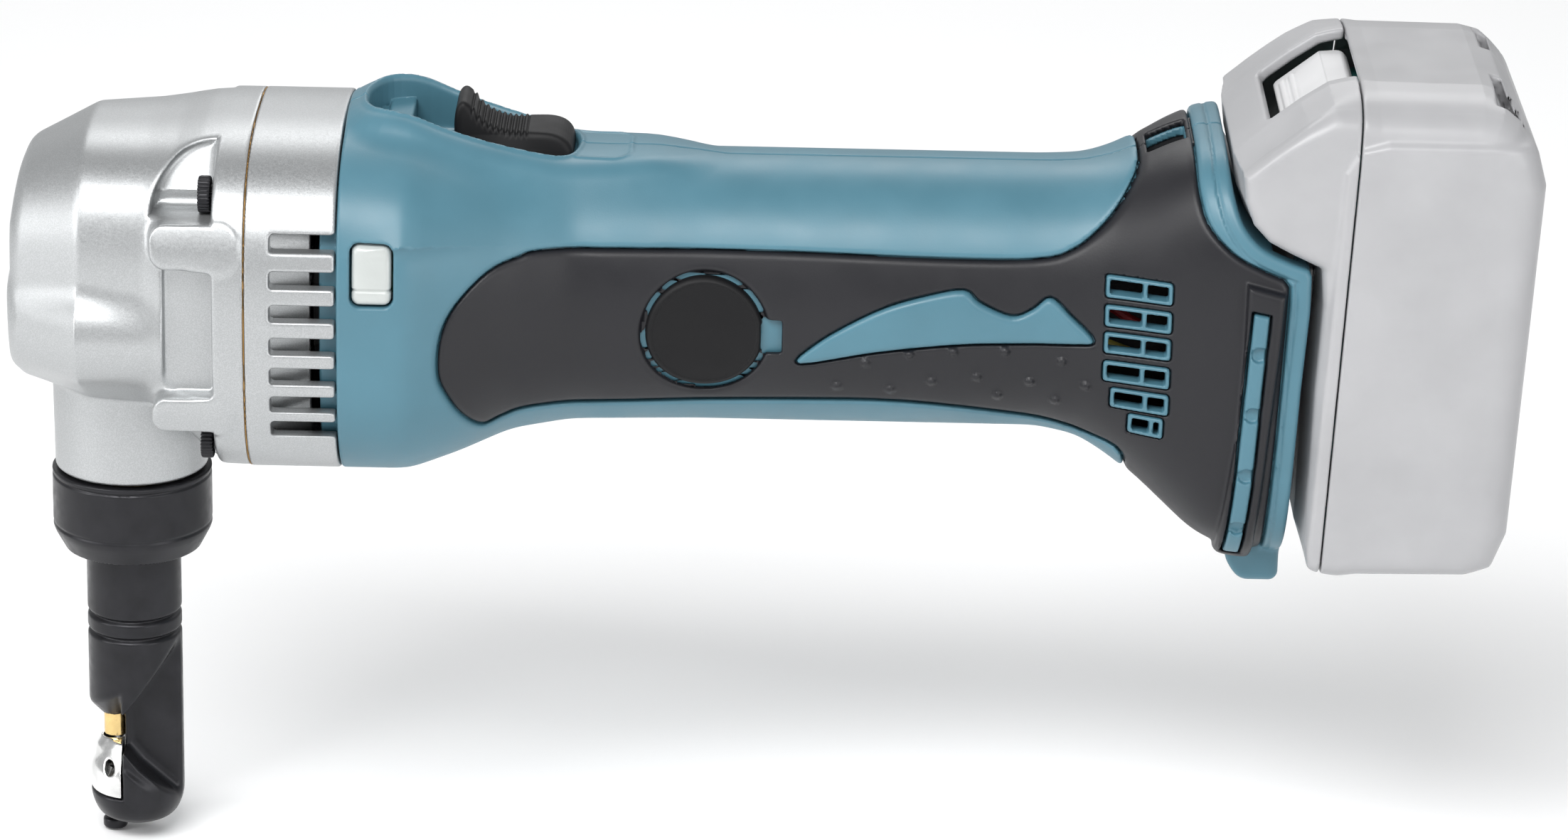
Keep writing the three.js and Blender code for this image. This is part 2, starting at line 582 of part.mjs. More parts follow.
// ---------------------------------------------------------------- plastic housing and grips
const rearX = (z) => REAR_X + PACK_LEAN * (z - REAR_Z);
const RIM_KNEE_Z = 142.7;
const RIM_KNEE = [rearX(RIM_KNEE_Z), RIM_KNEE_Z];
const RIM_TOP = [92.8, 168];

// Rear outline of the housing from below to above the rim, moved forwards by back.
function rearLine(back) {
  const slope = new THREE.QuadraticBezierCurve(
    new THREE.Vector2(101.4, 146.4),
    new THREE.Vector2(94.4, 149.4),
    new THREE.Vector2(93.1, 160),
  );
  return [
    [rearX(60) - back, 60],
    [RIM_KNEE[0] - back, RIM_KNEE[1] - back * 0.6],
    ...slope.getPoints(5).map((p) => [p.x - back * 0.75, p.y - back * 0.65]),
    [RIM_TOP[0] - back, RIM_TOP[1]],
  ];
}

function bodySide(back) {
  return prism("y", [...rearLine(back), [-100, 190], [-100, 40], [rearX(40) - back, 40]], -50, 50);
}

// Edge of the grip, from the top of the rear flare round the front end and back along the belly.
const GRIP_EDGE = smoothLine([
  [78, 172], [76, 160], [73.1, 154.4], [68.3, 148.1], [62, 142.9], [54.1, 140.7], [34.8, 140.4], [2.7, 141.1],
  [-46.9, 141.5], [-57.8, 138.2], [-64, 132.3], [-67.1, 126], [-67.9, 120.2], [-65.6, 111.8], [-62.6, 106.7],
  [-58.8, 103.3], [-48.5, 106.3], [3.3, 107.9], [27.7, 107.9], [52.2, 104.7], [65.4, 101.2], [73, 96],
  [70, 84],
], 36);
const GRIP_AREA = [...GRIP_EDGE, [70, 50], [130, 50], [130, 172]];
const RIM_WIDTH = 4.2;
const INLAY = smoothOutline([
  [6.3, 117.4], [9.5, 122.2], [23.8, 130], [39.7, 134], [43, 131.5], [49.6, 128.8], [57.5, 132.9],
  [66.5, 124.6], [63, 123.2], [38.5, 122.5], [20, 120.6],
], 16);
const STRIP = [[95.6, 134.8], [100.2, 134.8], [99.2, 88], [94.6, 88]];
const BUMPER = [[92.6, 138.5], [103.4, 138.5], [102.2, 84], [91, 84]];
// The louvre's slots, as [top z, front x].
const VENT_ROWS = [
  [138.5, 68.7], [132.4, 68.7], [126.6, 68.7], [120.4, 68.7], [114.5, 70.4], [109.1, 74.4],
];
const VENT_ROW_END = 82;
const ROW_HEIGHT = 4.4;
const ROW_FRAME = 0.8;
const LOUVRE_PANEL = [[67.6, 139.6], [83, 139.6], [83, 103.6], [74.4, 103.6], [67.6, 112]];

// An anticlockwise or clockwise outline moved outwards by distance.
function grown(outline, distance) {
  const count = outline.length;
  const turn = Math.sign(THREE.ShapeUtils.area(outline.map(([a, b]) => new THREE.Vector2(a, b))));
  return outline.map(([x, z], i) => {
    const [px, pz] = outline[(i + count - 1) % count];
    const [nx, nz] = outline[(i + 1) % count];
    const before = new THREE.Vector2(z - pz, px - x).normalize();
    const after = new THREE.Vector2(nz - z, x - nx).normalize();
    const bisector = before.add(after);
    const scale = (2 * turn * distance) / bisector.lengthSq();
    return [x + bisector.x * scale, z + bisector.y * scale];
  });
}

const sideBand = (side, outline, near, far) => prism("y", outline, ...span(side, near, far));

// The raised surround of the switch, from above and from the side.
const COAMING = smoothOutline([
  [-86.4, 0], [-84, 10], [-78, 15.5], [-66, 16], [-50, 13.5], [-40, 12], [-36.6, 7],
  [-36, 0], [-36.6, -7], [-40, -12], [-50, -13.5], [-66, -16], [-78, -15.5], [-84, -10],
], 20);
const COAMING_TOP = [
  [-90, 160], [-86, 165.6], [-76, 166], [-68, 163.6], [-50, 160.4], [-38, 158.6], [-30, 157],
  [-30, 140], [-90, 140],
];
const KNOB_HALF_WIDTH = 8.6;
const KNOB_TRAVEL = 8;
const POCKET = roundedRectangle(-61.8, 0, 43.6, 22, 5, 3);
const POCKET_FLOOR_Z = 154.5;

const HOUSING_SCREWS = [[-81, 99], [40, 107.5], [46, 147], [92, 88], [84, 150]];
const SCREW_HOLE_RADIUS = 3.1;
const LAMP = { x: -80.7, z: 139.5, width: 8.2, height: 12.5, depth: 7 };

function housingShell() {
  const outside = common(bodyLoft(0, SEAM_BODY_X + GAP / 2, 112), bodySide(0));
  const coaming = common(prism("z", COAMING, 150, 170), prism("y", COAMING_TOP, -20, 20));
  const inside = union(
    common(bodyLoft(HOUSING_WALL, SEAM_BODY_X - 5, 97), bodySide(11)),
    loft([headSection(SEAM_BODY_X - 5, HOUSING_WALL), headSection(SEAM_BODY_X + 4, HOUSING_WALL)]),
  );
  const ring = (from, to) =>
    cut(
      bodyLoft(2, from, to),
      rod("x", CAN_RADIUS + 0.3, from - 1, to + 1, [0, 0, MOTOR_Z], 24),
      box(from - 1, to + 1, -6, 6, 144, 152),
    );
  const bearingRing = (from, to) =>
    cut(
      bodyLoft(2, from, to),
      rod("x", 9.3, from - 1, to + 1, [0, 0, MOTOR_Z], 24),
      box(from - 1, to + 1, -6, 6, 147, 152),
      box(from - 1, to + 1, -25, 25, 90, 108),
    );
  const bosses = HOUSING_SCREWS.map(([x, z]) => rod("y", 4.2, -45, 45, [x, 0, z], 8));
  const knobFloor = box(-86, -37, -16, 16, POCKET_FLOOR_Z - 2.2, 158);
  return union(
    cut(union(outside, coaming), inside),
    common(union(outside, coaming), union(ring(-62, -59), bearingRing(2.5, 6), ...bosses, knobFloor)),
  );
}

function pocketCut() {
  return union(
    prism("z", POCKET, POCKET_FLOOR_Z, 175),
    box(-68, -46, -4.4, 4.4, 149, 160),
  );
}

const gripRegion = (side) => common(sideBand(side, GRIP_AREA, -1, 50), bodySide(RIM_WIDTH));

function skinLayer(inner, outer) {
  return cut(bodyLoft(-outer, SEAM_BODY_X, 112), bodyLoft(inner, SEAM_BODY_X - 1, 113));
}

const shell = housingShell();

// Slot that takes the battery's tongue: a neck and two undercut rails, open upwards through the rim.
const SLOT = { neckHalf: 26, railHalf: 29.5, bottom: 91, neckFrom: 7.6, railFrom: 3.2, railTo: 7.6 };
function slotCut(play) {
  const strip = (from, to, low) => [
    [rearX(low) - from, low], [rearX(190) - from, 190], [rearX(190) - to, 190], [rearX(low) - to, low],
  ];
  const low = SLOT.bottom - play;
  const neckHalf = SLOT.neckHalf + play;
  const neck = prism("y", strip(-20, SLOT.neckFrom + play, low), -neckHalf, neckHalf);
  const rails = prism("y", strip(SLOT.railFrom - play, SLOT.railTo + play, low), -SLOT.railHalf - play,
    SLOT.railHalf + play);
  return union(neck, rails);
}

const strapHole = box(77.5, 85, -3.6, 3.6, 157.5, 175);
const sideRod = (side, radius, near, far, x, z, segments) =>
  rod("y", radius, ...span(side, near, far), [x, 0, z], segments);

function housingHalf(side) {
  const half = box(-100, 120, ...span(side, GAP / 2, 60), 40, 200);
  const throughGrip = union(
    sideBand(side, INLAY, 10, 50),
    sideBand(side, STRIP, 20, 50),
    sideBand(side, LOUVRE_PANEL, 15, 50),
  );
  const skin = common(skinLayer(SKIN + GAP, 5), cut(gripRegion(side), throughGrip));
  const lampOutline = roundedRectangle(LAMP.x, LAMP.z, LAMP.width, LAMP.height, 2);
  const screwHoles = HOUSING_SCREWS.flatMap(([x, z]) => [
    rod("y", 1.9, -14, 45, [x, 0, z], 8),
    rod("y", SCREW_HOLE_RADIUS, 13.9, 45, [x, 0, z], 8),
  ]);
  const ventSlots = VENT_ROWS.map(([top, start]) => {
    const [low, high] = [top - ROW_HEIGHT + ROW_FRAME, top - ROW_FRAME];
    return box(start + ROW_FRAME, VENT_ROW_END - ROW_FRAME, ...span(side, 15, 50), low, high);
  });
  return cut(
    common(shell, half),
    skin,
    pocketCut(),
    slotCut(0),
    sideRod(side, DISC_RADIUS + 0.4, 22.1, 50, DISC_X, DISC_Z, 20),
    sideRod(side, 5.6, 15, 23, DISC_X, MOTOR_Z + BRUSH_Z, 16),
    sideBand(side, lampOutline, 20, 50),
    ...screwHoles,
    ...ventSlots,
    strapHole,
  );
}

function gripHalf(side) {
  const half = box(-100, 120, ...span(side, GAP / 2, 60), 40, 200);
  const skin = common(skinLayer(SKIN, 0), gripRegion(side), half);
  const bumper = common(
    cut(bodyLoft(-0.9, 90, 106), bodyLoft(SKIN, 89, 107)),
    sideBand(side, BUMPER, 20, 50),
  );
  return cut(
    common(union(skin, bumper), bodySide(RIM_WIDTH + GAP)),
    ...[INLAY, STRIP, LOUVRE_PANEL].map((outline) => sideBand(side, grown(outline, 0.35), 10, 50)),
    sideRod(side, DISC_RADIUS + 0.7, 20, 50, DISC_X, DISC_Z, 20),
    ...HOUSING_SCREWS.map(([x, z]) => rod("y", SCREW_HOLE_RADIUS, 0, 50, [x, 0, z], 8)),
    strapHole,
  );
}

function brushCover(side) {
  const disc = common(sideRod(side, DISC_RADIUS, 22.4, 50, DISC_X, DISC_Z, 20), bodyLoft(0.1, -40, 20));
  return cut(disc, box(-1.9, 2, ...span(side, 24.1, 50), DISC_Z - 3, DISC_Z + 3));
}

function lampLens(side) {
  const face = roundedRectangle(LAMP.x, LAMP.z, LAMP.width - 0.5, LAMP.height - 0.5, 1.8);
  return common(sideBand(side, face, 33, 50), bodyLoft(GAP, -88, -70));
}

for (const [name, side] of SIDES) {
  addPiece(handle, `housing_${name}`, housingHalf(side), "housing_plastic");
  addPiece(handle, `grip_${name}`, gripHalf(side), "soft_grip");
  addPiece(handle, `brush_cover_${name}`, brushCover(side), "switch_plastic");
  addPiece(handle, `lamp_lens_${name}`, lampLens(side), "lens_plastic");
}

const HOUSING_SCREW_PROFILE = [[0, 16.6], [2.8, 16.6], [2.8, 14.2], [1.5, 14.2], [1.5, -13], [0, -13]];
HOUSING_SCREWS.forEach(([x, z], i) => {
  const screw = cut(
    lathe("y", HOUSING_SCREW_PROFILE, [x, 0, z], 10),
    box(x - 1.6, x + 1.6, 15.4, 18, z - 0.45, z + 0.45),
    box(x - 0.45, x + 0.45, 15.4, 18, z - 1.6, z + 1.6),
  );
  addPiece(handle, `housing_screw_${i + 1}`, screw, "bearing_steel");
});

// ---------------------------------------------------------------- switch, board, terminals and leads
const knobProfile = smoothOutline([
  [-65.4, 156.2], [-65.6, 163], [-64.6, 166.2], [-62.6, 166.6], [-60.6, 164], [-57, 161.6],
  [-52, 160.6], [-46.8, 160.4], [-43.4, 159.4], [-41.8, 156.6], [-42.4, 156.1],
], 26);
const knob = common(
  prism("y", knobProfile, -KNOB_HALF_WIDTH, KNOB_HALF_WIDTH),
  prism("x", roundedRectangle(0, 155, 2 * KNOB_HALF_WIDTH, 24, 3), -70, -38),
);
addPiece(handle, "switch_knob", knob, "switch_plastic");
const switchSlide = union(
  box(-58, -47, -3.6, 3.6, 148.6, 154.4), // stem under the knob
  box(-58, 19.4, -4, 4, 148.4, 150.3), // bar along the handle
  box(16, 19.4, -4, 4, 143, 149), // finger on the power switch
);
const powerSwitch = union(
  box(20.2, 38, -9, 9, 128, 146.5),
  ...SIDES.map(([, side]) => box(38, 40.5, ...span(side, 3, 6), 134, 141)),
);
const controlBoard = union(
  box(22, 62, -13, 13, 112.4, 114),
  box(26, 36, -9, 1, 114, 120),
  rod("z", 3.4, 113.5, 123, [50, 6, 0], 14),
);
const lampBoard = union(box(-86, -75, -32.4, -30.9, 134, 145), box(-83, -78.4, -33, -32, 137, 142));
const terminalBlock = cut(
  box(86, 95.8, -20, 20, 93, 132),
  ...[-12, 0, 12].map((y) => box(84, 94, y - 4, y + 4, 97, 128)),
);
addPiece(handle, "switch_slide", switchSlide, "inner_plastic");
addPiece(handle, "power_switch", powerSwitch, "inner_plastic");
addPiece(handle, "control_board", controlBoard, "circuit_board");
addPiece(handle, "lamp_board", lampBoard, "circuit_board");
addPiece(handle, "terminal_block", terminalBlock, "inner_plastic");

// A lead is a thin round tube along a smooth curve.
const LEAD_RADIUS = 1;
function lead(points) {
  const extrudePath = new THREE.CatmullRomCurve3(points.map((p) => new THREE.Vector3(...p)));
  const section = new THREE.Shape();
  section.absarc(0, 0, LEAD_RADIUS, 0, 2 * Math.PI);
  const options = { steps: 12, extrudePath, curveSegments: 4, bevelEnabled: false };
  return solid(new THREE.ExtrudeGeometry(section, options));
}
const yellowLead = lead([
  [41, -4.5, 136], [52, -10, 131], [64, -18.5, 124], [74, -20.6, 120.6], [80, -19, 117.6], [85.6, -15, 114],
]);
const redLead = lead([
  [41, 4.5, 136], [54, -2, 135.5], [66, -14, 131], [74, -18.5, 127], [80, -16, 123.5], [85.6, -13, 121],
]);
addPiece(handle, "yellow_lead", yellowLead, "yellow_lead");
addPiece(handle, "red_lead", redLead, "red_lead");

// ---------------------------------------------------------------- battery
const packBackX = (z) => 154.55 + PACK_LEAN * (z - REAR_Z);
const partingX = (z) => 116 + PACK_LEAN * (z - REAR_Z);
const PACK_GAP = 0.5;

// Side view of the pack, moved inwards by inset.
function packOutline(inset) {
  const front = rearLine(-PACK_GAP - inset).filter(([, z]) => z > 90 && z < 164);
  const nose = [[93.8 + inset, 163.6 - inset * 0.3], [99, 168.4 - inset], [117.2, PACK_TOP_Z - inset]];
  const back = [
    [143.7, PACK_TOP_Z - 0.6 - inset], [150.6, 176 - inset], [154.6 - inset, 170.5 - inset * 0.6],
    [BACK_X - inset, 162.5], [packBackX(87) - inset, 87], [150 - inset, 79.2 + inset],
    [144.5, PACK_BOTTOM_Z + 0.6 + inset],
  ];
  const bottom = [
    [117.1, PACK_BOTTOM_Z + inset], [111.5 + inset, 79 + inset],
    [rearX(84.5) + PACK_GAP + inset, 84.5 + inset * 0.5],
  ];
  return [...front, ...nose, ...back, ...bottom];
}

// The pack's end view has large radii at the top and small ones at the bottom.
function packSolid(inset) {
  const half = PACK_HALF_WIDTH - inset;
  const corners = [[1, 1, 13], [-1, 1, 13], [-1, -1, 5], [1, -1, 5]];
  const ends = [];
  corners.forEach(([sy, sz, radius], start) => {
    const cy = sy * (half - radius);
    const cz = sz > 0 ? PACK_TOP_Z - inset - radius : PACK_BOTTOM_Z + inset + radius;
    for (let i = 0; i <= 5; i += 1) {
      const angle = (start + i / 5) * (Math.PI / 2);
      ends.push([cy + radius * Math.cos(angle), cz + radius * Math.sin(angle)]);
    }
  });
  return common(prism("y", packOutline(inset), -half, half), prism("x", ends, 80, 170));
}

// Everything on one side of the parting line, out to x = end.
function partingHalf(gap, end) {
  return prism("y", [[partingX(60) + gap, 60], [partingX(200) + gap, 200], [end, 200], [end, 60]], -60, 60);
}
const frontHalf = partingHalf(-GAP / 2, 60);
const backHalf = partingHalf(GAP / 2, 200);
const packOuter = packSolid(0);
const packInner = packSolid(2.4);
const aheadOfPack = prism("y", [...rearLine(-PACK_GAP - 1), [60, 180], [60, 60]], -60, 60);
const tongue = cut(
  common(slotCut(-0.35), aheadOfPack, box(60, 130, -60, 60, 60, 150)),
  box(60, 130, -18, 18, 60, 96),
);

// The release button slides up the slope inside a window of the pack's nose, and draws the latch back.
const BUTTON = { low: -9, high: 6, halfWidth: 12.5, travel: 4 };
function slopedBlock(low, high, halfWidth, bottom, top) {
  const block = new THREE.BoxGeometry(high - low, 2 * halfWidth, top - bottom);
  block.translate((low + high) / 2, 0, (bottom + top) / 2);
  return solid(block.rotateY(-THREE.MathUtils.degToRad(38)).translate(112.2, 0, 173.4));
}
const packShell = cut(packOuter, packInner);
const windowHigh = BUTTON.high + BUTTON.travel + 0.5;
const buttonWindow = slopedBlock(BUTTON.low - 0.5, windowHigh, BUTTON.halfWidth + 0.5, -8, 12);
const buttonRibs = [-6, -1.5, 3].map((at) => {
  return slopedBlock(at - 0.8, at + 0.8, BUTTON.halfWidth - 2.5, 0.5, 1.5);
});
const buttonBody = slopedBlock(BUTTON.low, BUTTON.high, BUTTON.halfWidth, -1.6, 0.8);

addPiece(battery, "battery_upper_case", cut(common(union(packShell, tongue), frontHalf), buttonWindow),
  "pack_plastic");
addPiece(battery, "battery_lower_case", cut(common(packShell, backHalf), buttonWindow), "pack_plastic");
addPiece(battery, "battery_button", union(buttonBody, ...buttonRibs), "release_plastic");

const cellPlaces = [0, 1].flatMap((row) => [0, 1, 2, 3, 4].map((column) => [row, column]));
const cellX = (row, z) => 123.5 + CELL_PITCH * row + PACK_LEAN * (z - REAR_Z);
const cellZ = (column) => 88.2 + CELL_PITCH * column;
const cells = cellPlaces.map(([row, column]) => {
  const z = cellZ(column);
  return rod("y", CELL_RADIUS, -CELL_LENGTH / 2, CELL_LENGTH / 2, [cellX(row, z), 0, z], 8);
});
const holderOutline = [[0, 0], [1, 0], [1, 4], [0, 4]].map(([row, column]) => {
  return [cellX(row, cellZ(column)), cellZ(column)];
});
const cellHolders = [-24, 24].map((y) => prism("y", holderOutline, y - 2, y + 2));
addPiece(battery, "cell_pack", union(...cells, ...cellHolders), "cell_wrap");
const boardOutline = [[112, 90], [113.2, 90], [113.2, 140], [112, 140]].map(([x, z]) => {
  return [x + PACK_LEAN * (z - REAR_Z), z];
});
addPiece(battery, "battery_board", prism("y", boardOutline, -27, 27), "circuit_board");

export default nibbler;
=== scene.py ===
"""Looks of the cordless nibbler, built round its CAD frame. Shapes are modelled in millimetres as
distance fields (negative inside), meshed finely, and given procedural materials."""

import math
from concurrent.futures import ThreadPoolExecutor

import bpy
import numpy as np
from mathutils import Matrix, Vector


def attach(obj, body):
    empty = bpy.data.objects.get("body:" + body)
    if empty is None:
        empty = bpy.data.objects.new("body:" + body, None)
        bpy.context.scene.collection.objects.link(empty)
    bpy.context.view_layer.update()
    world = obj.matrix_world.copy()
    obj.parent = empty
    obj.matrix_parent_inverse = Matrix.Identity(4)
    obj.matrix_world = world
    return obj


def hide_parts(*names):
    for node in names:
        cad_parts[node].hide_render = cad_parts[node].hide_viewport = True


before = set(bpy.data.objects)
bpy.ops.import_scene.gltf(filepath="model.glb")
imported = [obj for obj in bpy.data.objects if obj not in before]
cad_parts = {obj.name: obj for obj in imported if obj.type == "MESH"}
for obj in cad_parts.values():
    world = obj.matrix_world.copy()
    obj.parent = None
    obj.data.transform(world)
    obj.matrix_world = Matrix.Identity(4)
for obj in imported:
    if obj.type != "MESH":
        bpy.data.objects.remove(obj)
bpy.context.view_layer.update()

MM = 0.001
DETAIL = 1.0  # scale of every meshing step
SIDES = (("left", -1), ("right", 1))  # left is -Y


def in_parallel(work, parts):
    with ThreadPoolExecutor() as pool:
        return list(pool.map(work, parts))


# ---------------------------------------------------------------- fields
def smin(a, b, k=0.0):
    """Union of two fields, with a fillet about k wide."""
    if np.isscalar(k) and not k:
        return np.minimum(a, b)
    h = np.maximum(k - np.abs(a - b), 0) / k
    return np.minimum(a, b) - h * h * (k / 4)


def smax(a, b, k=0.0):
    """Intersection of two fields, with the shared edge rounded."""
    return -smin(-a, -b, k)


def carve(a, tool, k=0.0):
    return smax(a, -tool, k)


def between(t, low, high):
    return np.maximum(low - t, t - high)


def rect(u, v, centre, half, radius=0.0):
    """Rounded rectangle in two coordinates."""
    du = np.abs(u - centre[0]) - (half[0] - radius)
    dv = np.abs(v - centre[1]) - (half[1] - radius)
    outside = np.hypot(np.maximum(du, 0), np.maximum(dv, 0))
    return outside + np.minimum(np.maximum(du, dv), 0) - radius


def block(p, low, high, radius=0.0):
    """Rounded box between two corners."""
    away = [np.abs(t - (a + b) / 2) - ((b - a) / 2 - radius) for t, a, b in zip(p, low, high)]
    squares = sum(np.maximum(d, 0) ** 2 for d in away)
    inside = np.minimum(np.maximum(np.maximum(away[0], away[1]), away[2]), 0)
    return np.sqrt(squares) + inside - radius


def disc(u, v, centre, radius):
    return np.hypot(u - centre[0], v - centre[1]) - radius


def outline(u, v, points):
    """Distance to a closed polygon, negative inside."""
    nearest = np.float32(1e9)
    inside = False
    count = len(points)
    for i in range(count):
        (ax, ay), (bx, by) = points[i], points[(i + 1) % count]
        ex, ey = bx - ax, by - ay
        wu, wv = u - ax, v - ay
        t = np.clip((wu * ex + wv * ey) / max(ex * ex + ey * ey, 1e-9), 0, 1)
        nearest = np.minimum(nearest, (wu - ex * t) ** 2 + (wv - ey * t) ** 2)
        inside = inside ^ (((ay > v) != (by > v)) & (wu < ex * wv / (ey or 1e-9)))
    return np.sqrt(nearest) * np.where(inside, -1, 1)


class Plan:
    """A closed outline whose distance is read from a fine table."""

    STEP = 0.2

    def __init__(self, points, low=(-96, 58), high=(118, 176)):
        self.low = low
        u = np.arange(low[0], high[0], self.STEP, dtype=np.float32)
        v = np.arange(low[1], high[1], self.STEP, dtype=np.float32)
        parts = in_parallel(lambda part: outline(part[:, None], v[None, :], points), np.array_split(u, 8))
        self.table = np.concatenate(parts).astype(np.float32)

    def __call__(self, u, v):
        i, fu = self.place(u, 0)
        j, fv = self.place(v, 1)
        table = self.table
        near = table[i, j] * (1 - fv) + table[i, j + 1] * fv
        far = table[i + 1, j] * (1 - fv) + table[i + 1, j + 1] * fv
        return near * (1 - fu) + far * fu

    def place(self, t, axis):
        """Whole and fractional position in the table."""
        at = np.clip((t - self.low[axis]) / self.STEP, 0, self.table.shape[axis] - 1.001)
        whole = at.astype(np.int32)
        return whole, (at - whole).astype(np.float32)


def curve(points, closed=True, steps=6):
    """Points along a Catmull-Rom curve through the given ones."""
    pts = [np.array(q, float) for q in points]
    count = len(pts)
    out = []
    for i in range(count if closed else count - 1):
        if closed:
            a, b, c, d = (pts[(i + j - 1) % count] for j in range(4))
        else:
            a, b, c, d = (pts[min(max(i + j - 1, 0), count - 1)] for j in range(4))
        for s in range(steps):
            t = s / steps
            spline = (2 * b + (c - a) * t + (2 * a - 5 * b + 4 * c - d) * t**2
                      + (3 * b - a - 3 * c + d) * t**3) / 2
            out.append(tuple(spline))
    if not closed:
        out.append(tuple(pts[-1]))
    return out


class Line:
    """A table of values along x, smoothed over about width."""

    STEP = 0.25

    def __init__(self, xs, values, width):
        self.x = np.arange(xs[0] - 4 * width, xs[-1] + 4 * width, self.STEP)
        column = np.interp(self.x, xs, values)
        reach = int(12 * width)
        kernel = np.exp(-0.5 * (np.arange(-reach, reach + 1) * self.STEP / width) ** 2)
        padded = np.pad(column, reach, mode="edge")
        self.values = np.convolve(padded, kernel / kernel.sum(), mode="valid")

    def __call__(self, x):
        return np.interp(x, self.x, self.values).astype(np.float32)


class Loft:
    """Superellipse sections along x: x, top z, bottom z, half width, squareness."""

    def __init__(self, sections, soft=2.0):
        xs = [s[0] for s in sections]
        self.lines = [Line(xs, [s[i] for s in sections], soft) for i in range(1, 5)]

    def __call__(self, p):
        x, y, z = p
        top, bottom, half, power = (line(x) for line in self.lines)
        height = (top - bottom) / 2
        u = np.abs(y) / half + np.float32(1e-4)
        v = np.abs(z - (top + bottom) / 2) / height + np.float32(1e-4)
        a, b = u**power, v**power
        f = (a + b) ** (1 / power)
        slope = np.hypot(a / (u * half), b / (v * height)) * f / (a + b)
        return (f - 1) / np.maximum(slope, np.float32(1e-3))


def turned(radius, position, profile):
    """A closed (radius, position) profile revolved about an axis."""
    mirrored = [(-r, s) for r, s in reversed(profile)]
    return outline(radius, position, list(profile) + mirrored)


def hexagon(u, v):
    """Half the width across the flats of the hexagon through a point."""
    return np.maximum(np.abs(u), np.abs(u / 2) + np.abs(v) * 0.866)


def both_sides(points):
    """Closes a half outline, given from the centre line to the centre line, with its mirror image."""
    return points + [(x, -y) for x, y in points[-2:0:-1]]


def ridge(distance, width):
    """1 on a line, falling to 0 over width."""
    return np.exp(-((distance / width) ** 2))


# ---------------------------------------------------------------- meshing
CORNERS = np.array(list(np.ndindex(2, 2, 2)))
EDGES = [(a, b) for a in range(8) for b in range(a, 8) if np.abs(CORNERS[a] - CORNERS[b]).sum() == 1]


def sample(field, axes):
    x, y, z = axes

    def slab(part):
        values = field((part[:, None, None], y[None, :, None], z[None, None, :]))
        return np.broadcast_to(values, (len(part), len(y), len(z))).astype(np.float32)

    return np.concatenate(in_parallel(slab, np.array_split(x, max(1, len(x) // 12))))


def net_points(values, cells, low, step):
    """One point in each cell that the surface crosses, at the mean of its edge crossings."""
    corner = [values[tuple((cells + c).T)] for c in CORNERS]
    total = np.zeros((len(cells), 3))
    hits = np.zeros((len(cells), 1))
    for a, b in EDGES:
        crosses = (corner[a] < 0) != (corner[b] < 0)
        share = np.where(crosses, corner[a] / (corner[a] - corner[b] + 1e-12), 0)[:, None]
        total += crosses[:, None] * (CORNERS[a] + share * (CORNERS[b] - CORNERS[a]))
        hits += crosses[:, None]
    return low + step * (cells + total / hits)


def net_quads(inside, index):
    """A quad round each grid edge that the surface crosses, facing out."""
    quads = []
    for axis in range(3):
        u, v = (axis + 1) % 3, (axis + 2) % 3
        near, far = [slice(1, -1)] * 3, [slice(1, -1)] * 3
        near[axis], far[axis] = slice(None, -1), slice(1, None)
        first, second = inside[tuple(near)], inside[tuple(far)]
        at = np.argwhere(first != second)
        falling = first[tuple(at.T)]
        at[:, u] += 1
        at[:, v] += 1
        eu, ev = np.eye(3, dtype=int)[u], np.eye(3, dtype=int)[v]
        ring = np.stack([index[tuple((at - d).T)] for d in (eu + ev, ev, 0 * eu, eu)], 1)
        quads.append(np.where(falling[:, None], ring, ring[:, ::-1]))
    return np.concatenate(quads)


def slope_at(field, points, reach):
    """The field's value and gradient at each point, from the corners of a small tetrahedron."""
    tetrahedron = np.array([(1, 1, 1), (1, -1, -1), (-1, 1, -1), (-1, -1, 1)], np.float32)

    def chunk(part):
        values = [field(tuple((part + reach * d).T)) for d in tetrahedron]
        gradient = sum(value[:, None] * d for value, d in zip(values, tetrahedron)) / (4 * reach)
        return sum(values) / 4, gradient

    done = in_parallel(chunk, np.array_split(points.astype(np.float32), 8))
    return np.concatenate([d[0] for d in done]), np.concatenate([d[1] for d in done])


def add_mesh(name, points, quads, normals, material):
    mesh = bpy.data.meshes.new(name)
    mesh.vertices.add(len(points))
    mesh.vertices.foreach_set("co", (points * MM).astype(np.float32).ravel())
    mesh.loops.add(quads.size)
    mesh.loops.foreach_set("vertex_index", quads.astype(np.int32).ravel())
    mesh.polygons.add(len(quads))
    mesh.polygons.foreach_set("loop_start", np.arange(0, quads.size, 4, dtype=np.int32))
    mesh.update(calc_edges=True)
    mesh.shade_smooth()
    mesh.normals_split_custom_set_from_vertices(normals.astype(np.float32))
    mesh.materials.append(material)
    made = bpy.data.objects.new(name, mesh)
    bpy.context.scene.collection.objects.link(made)
    return made


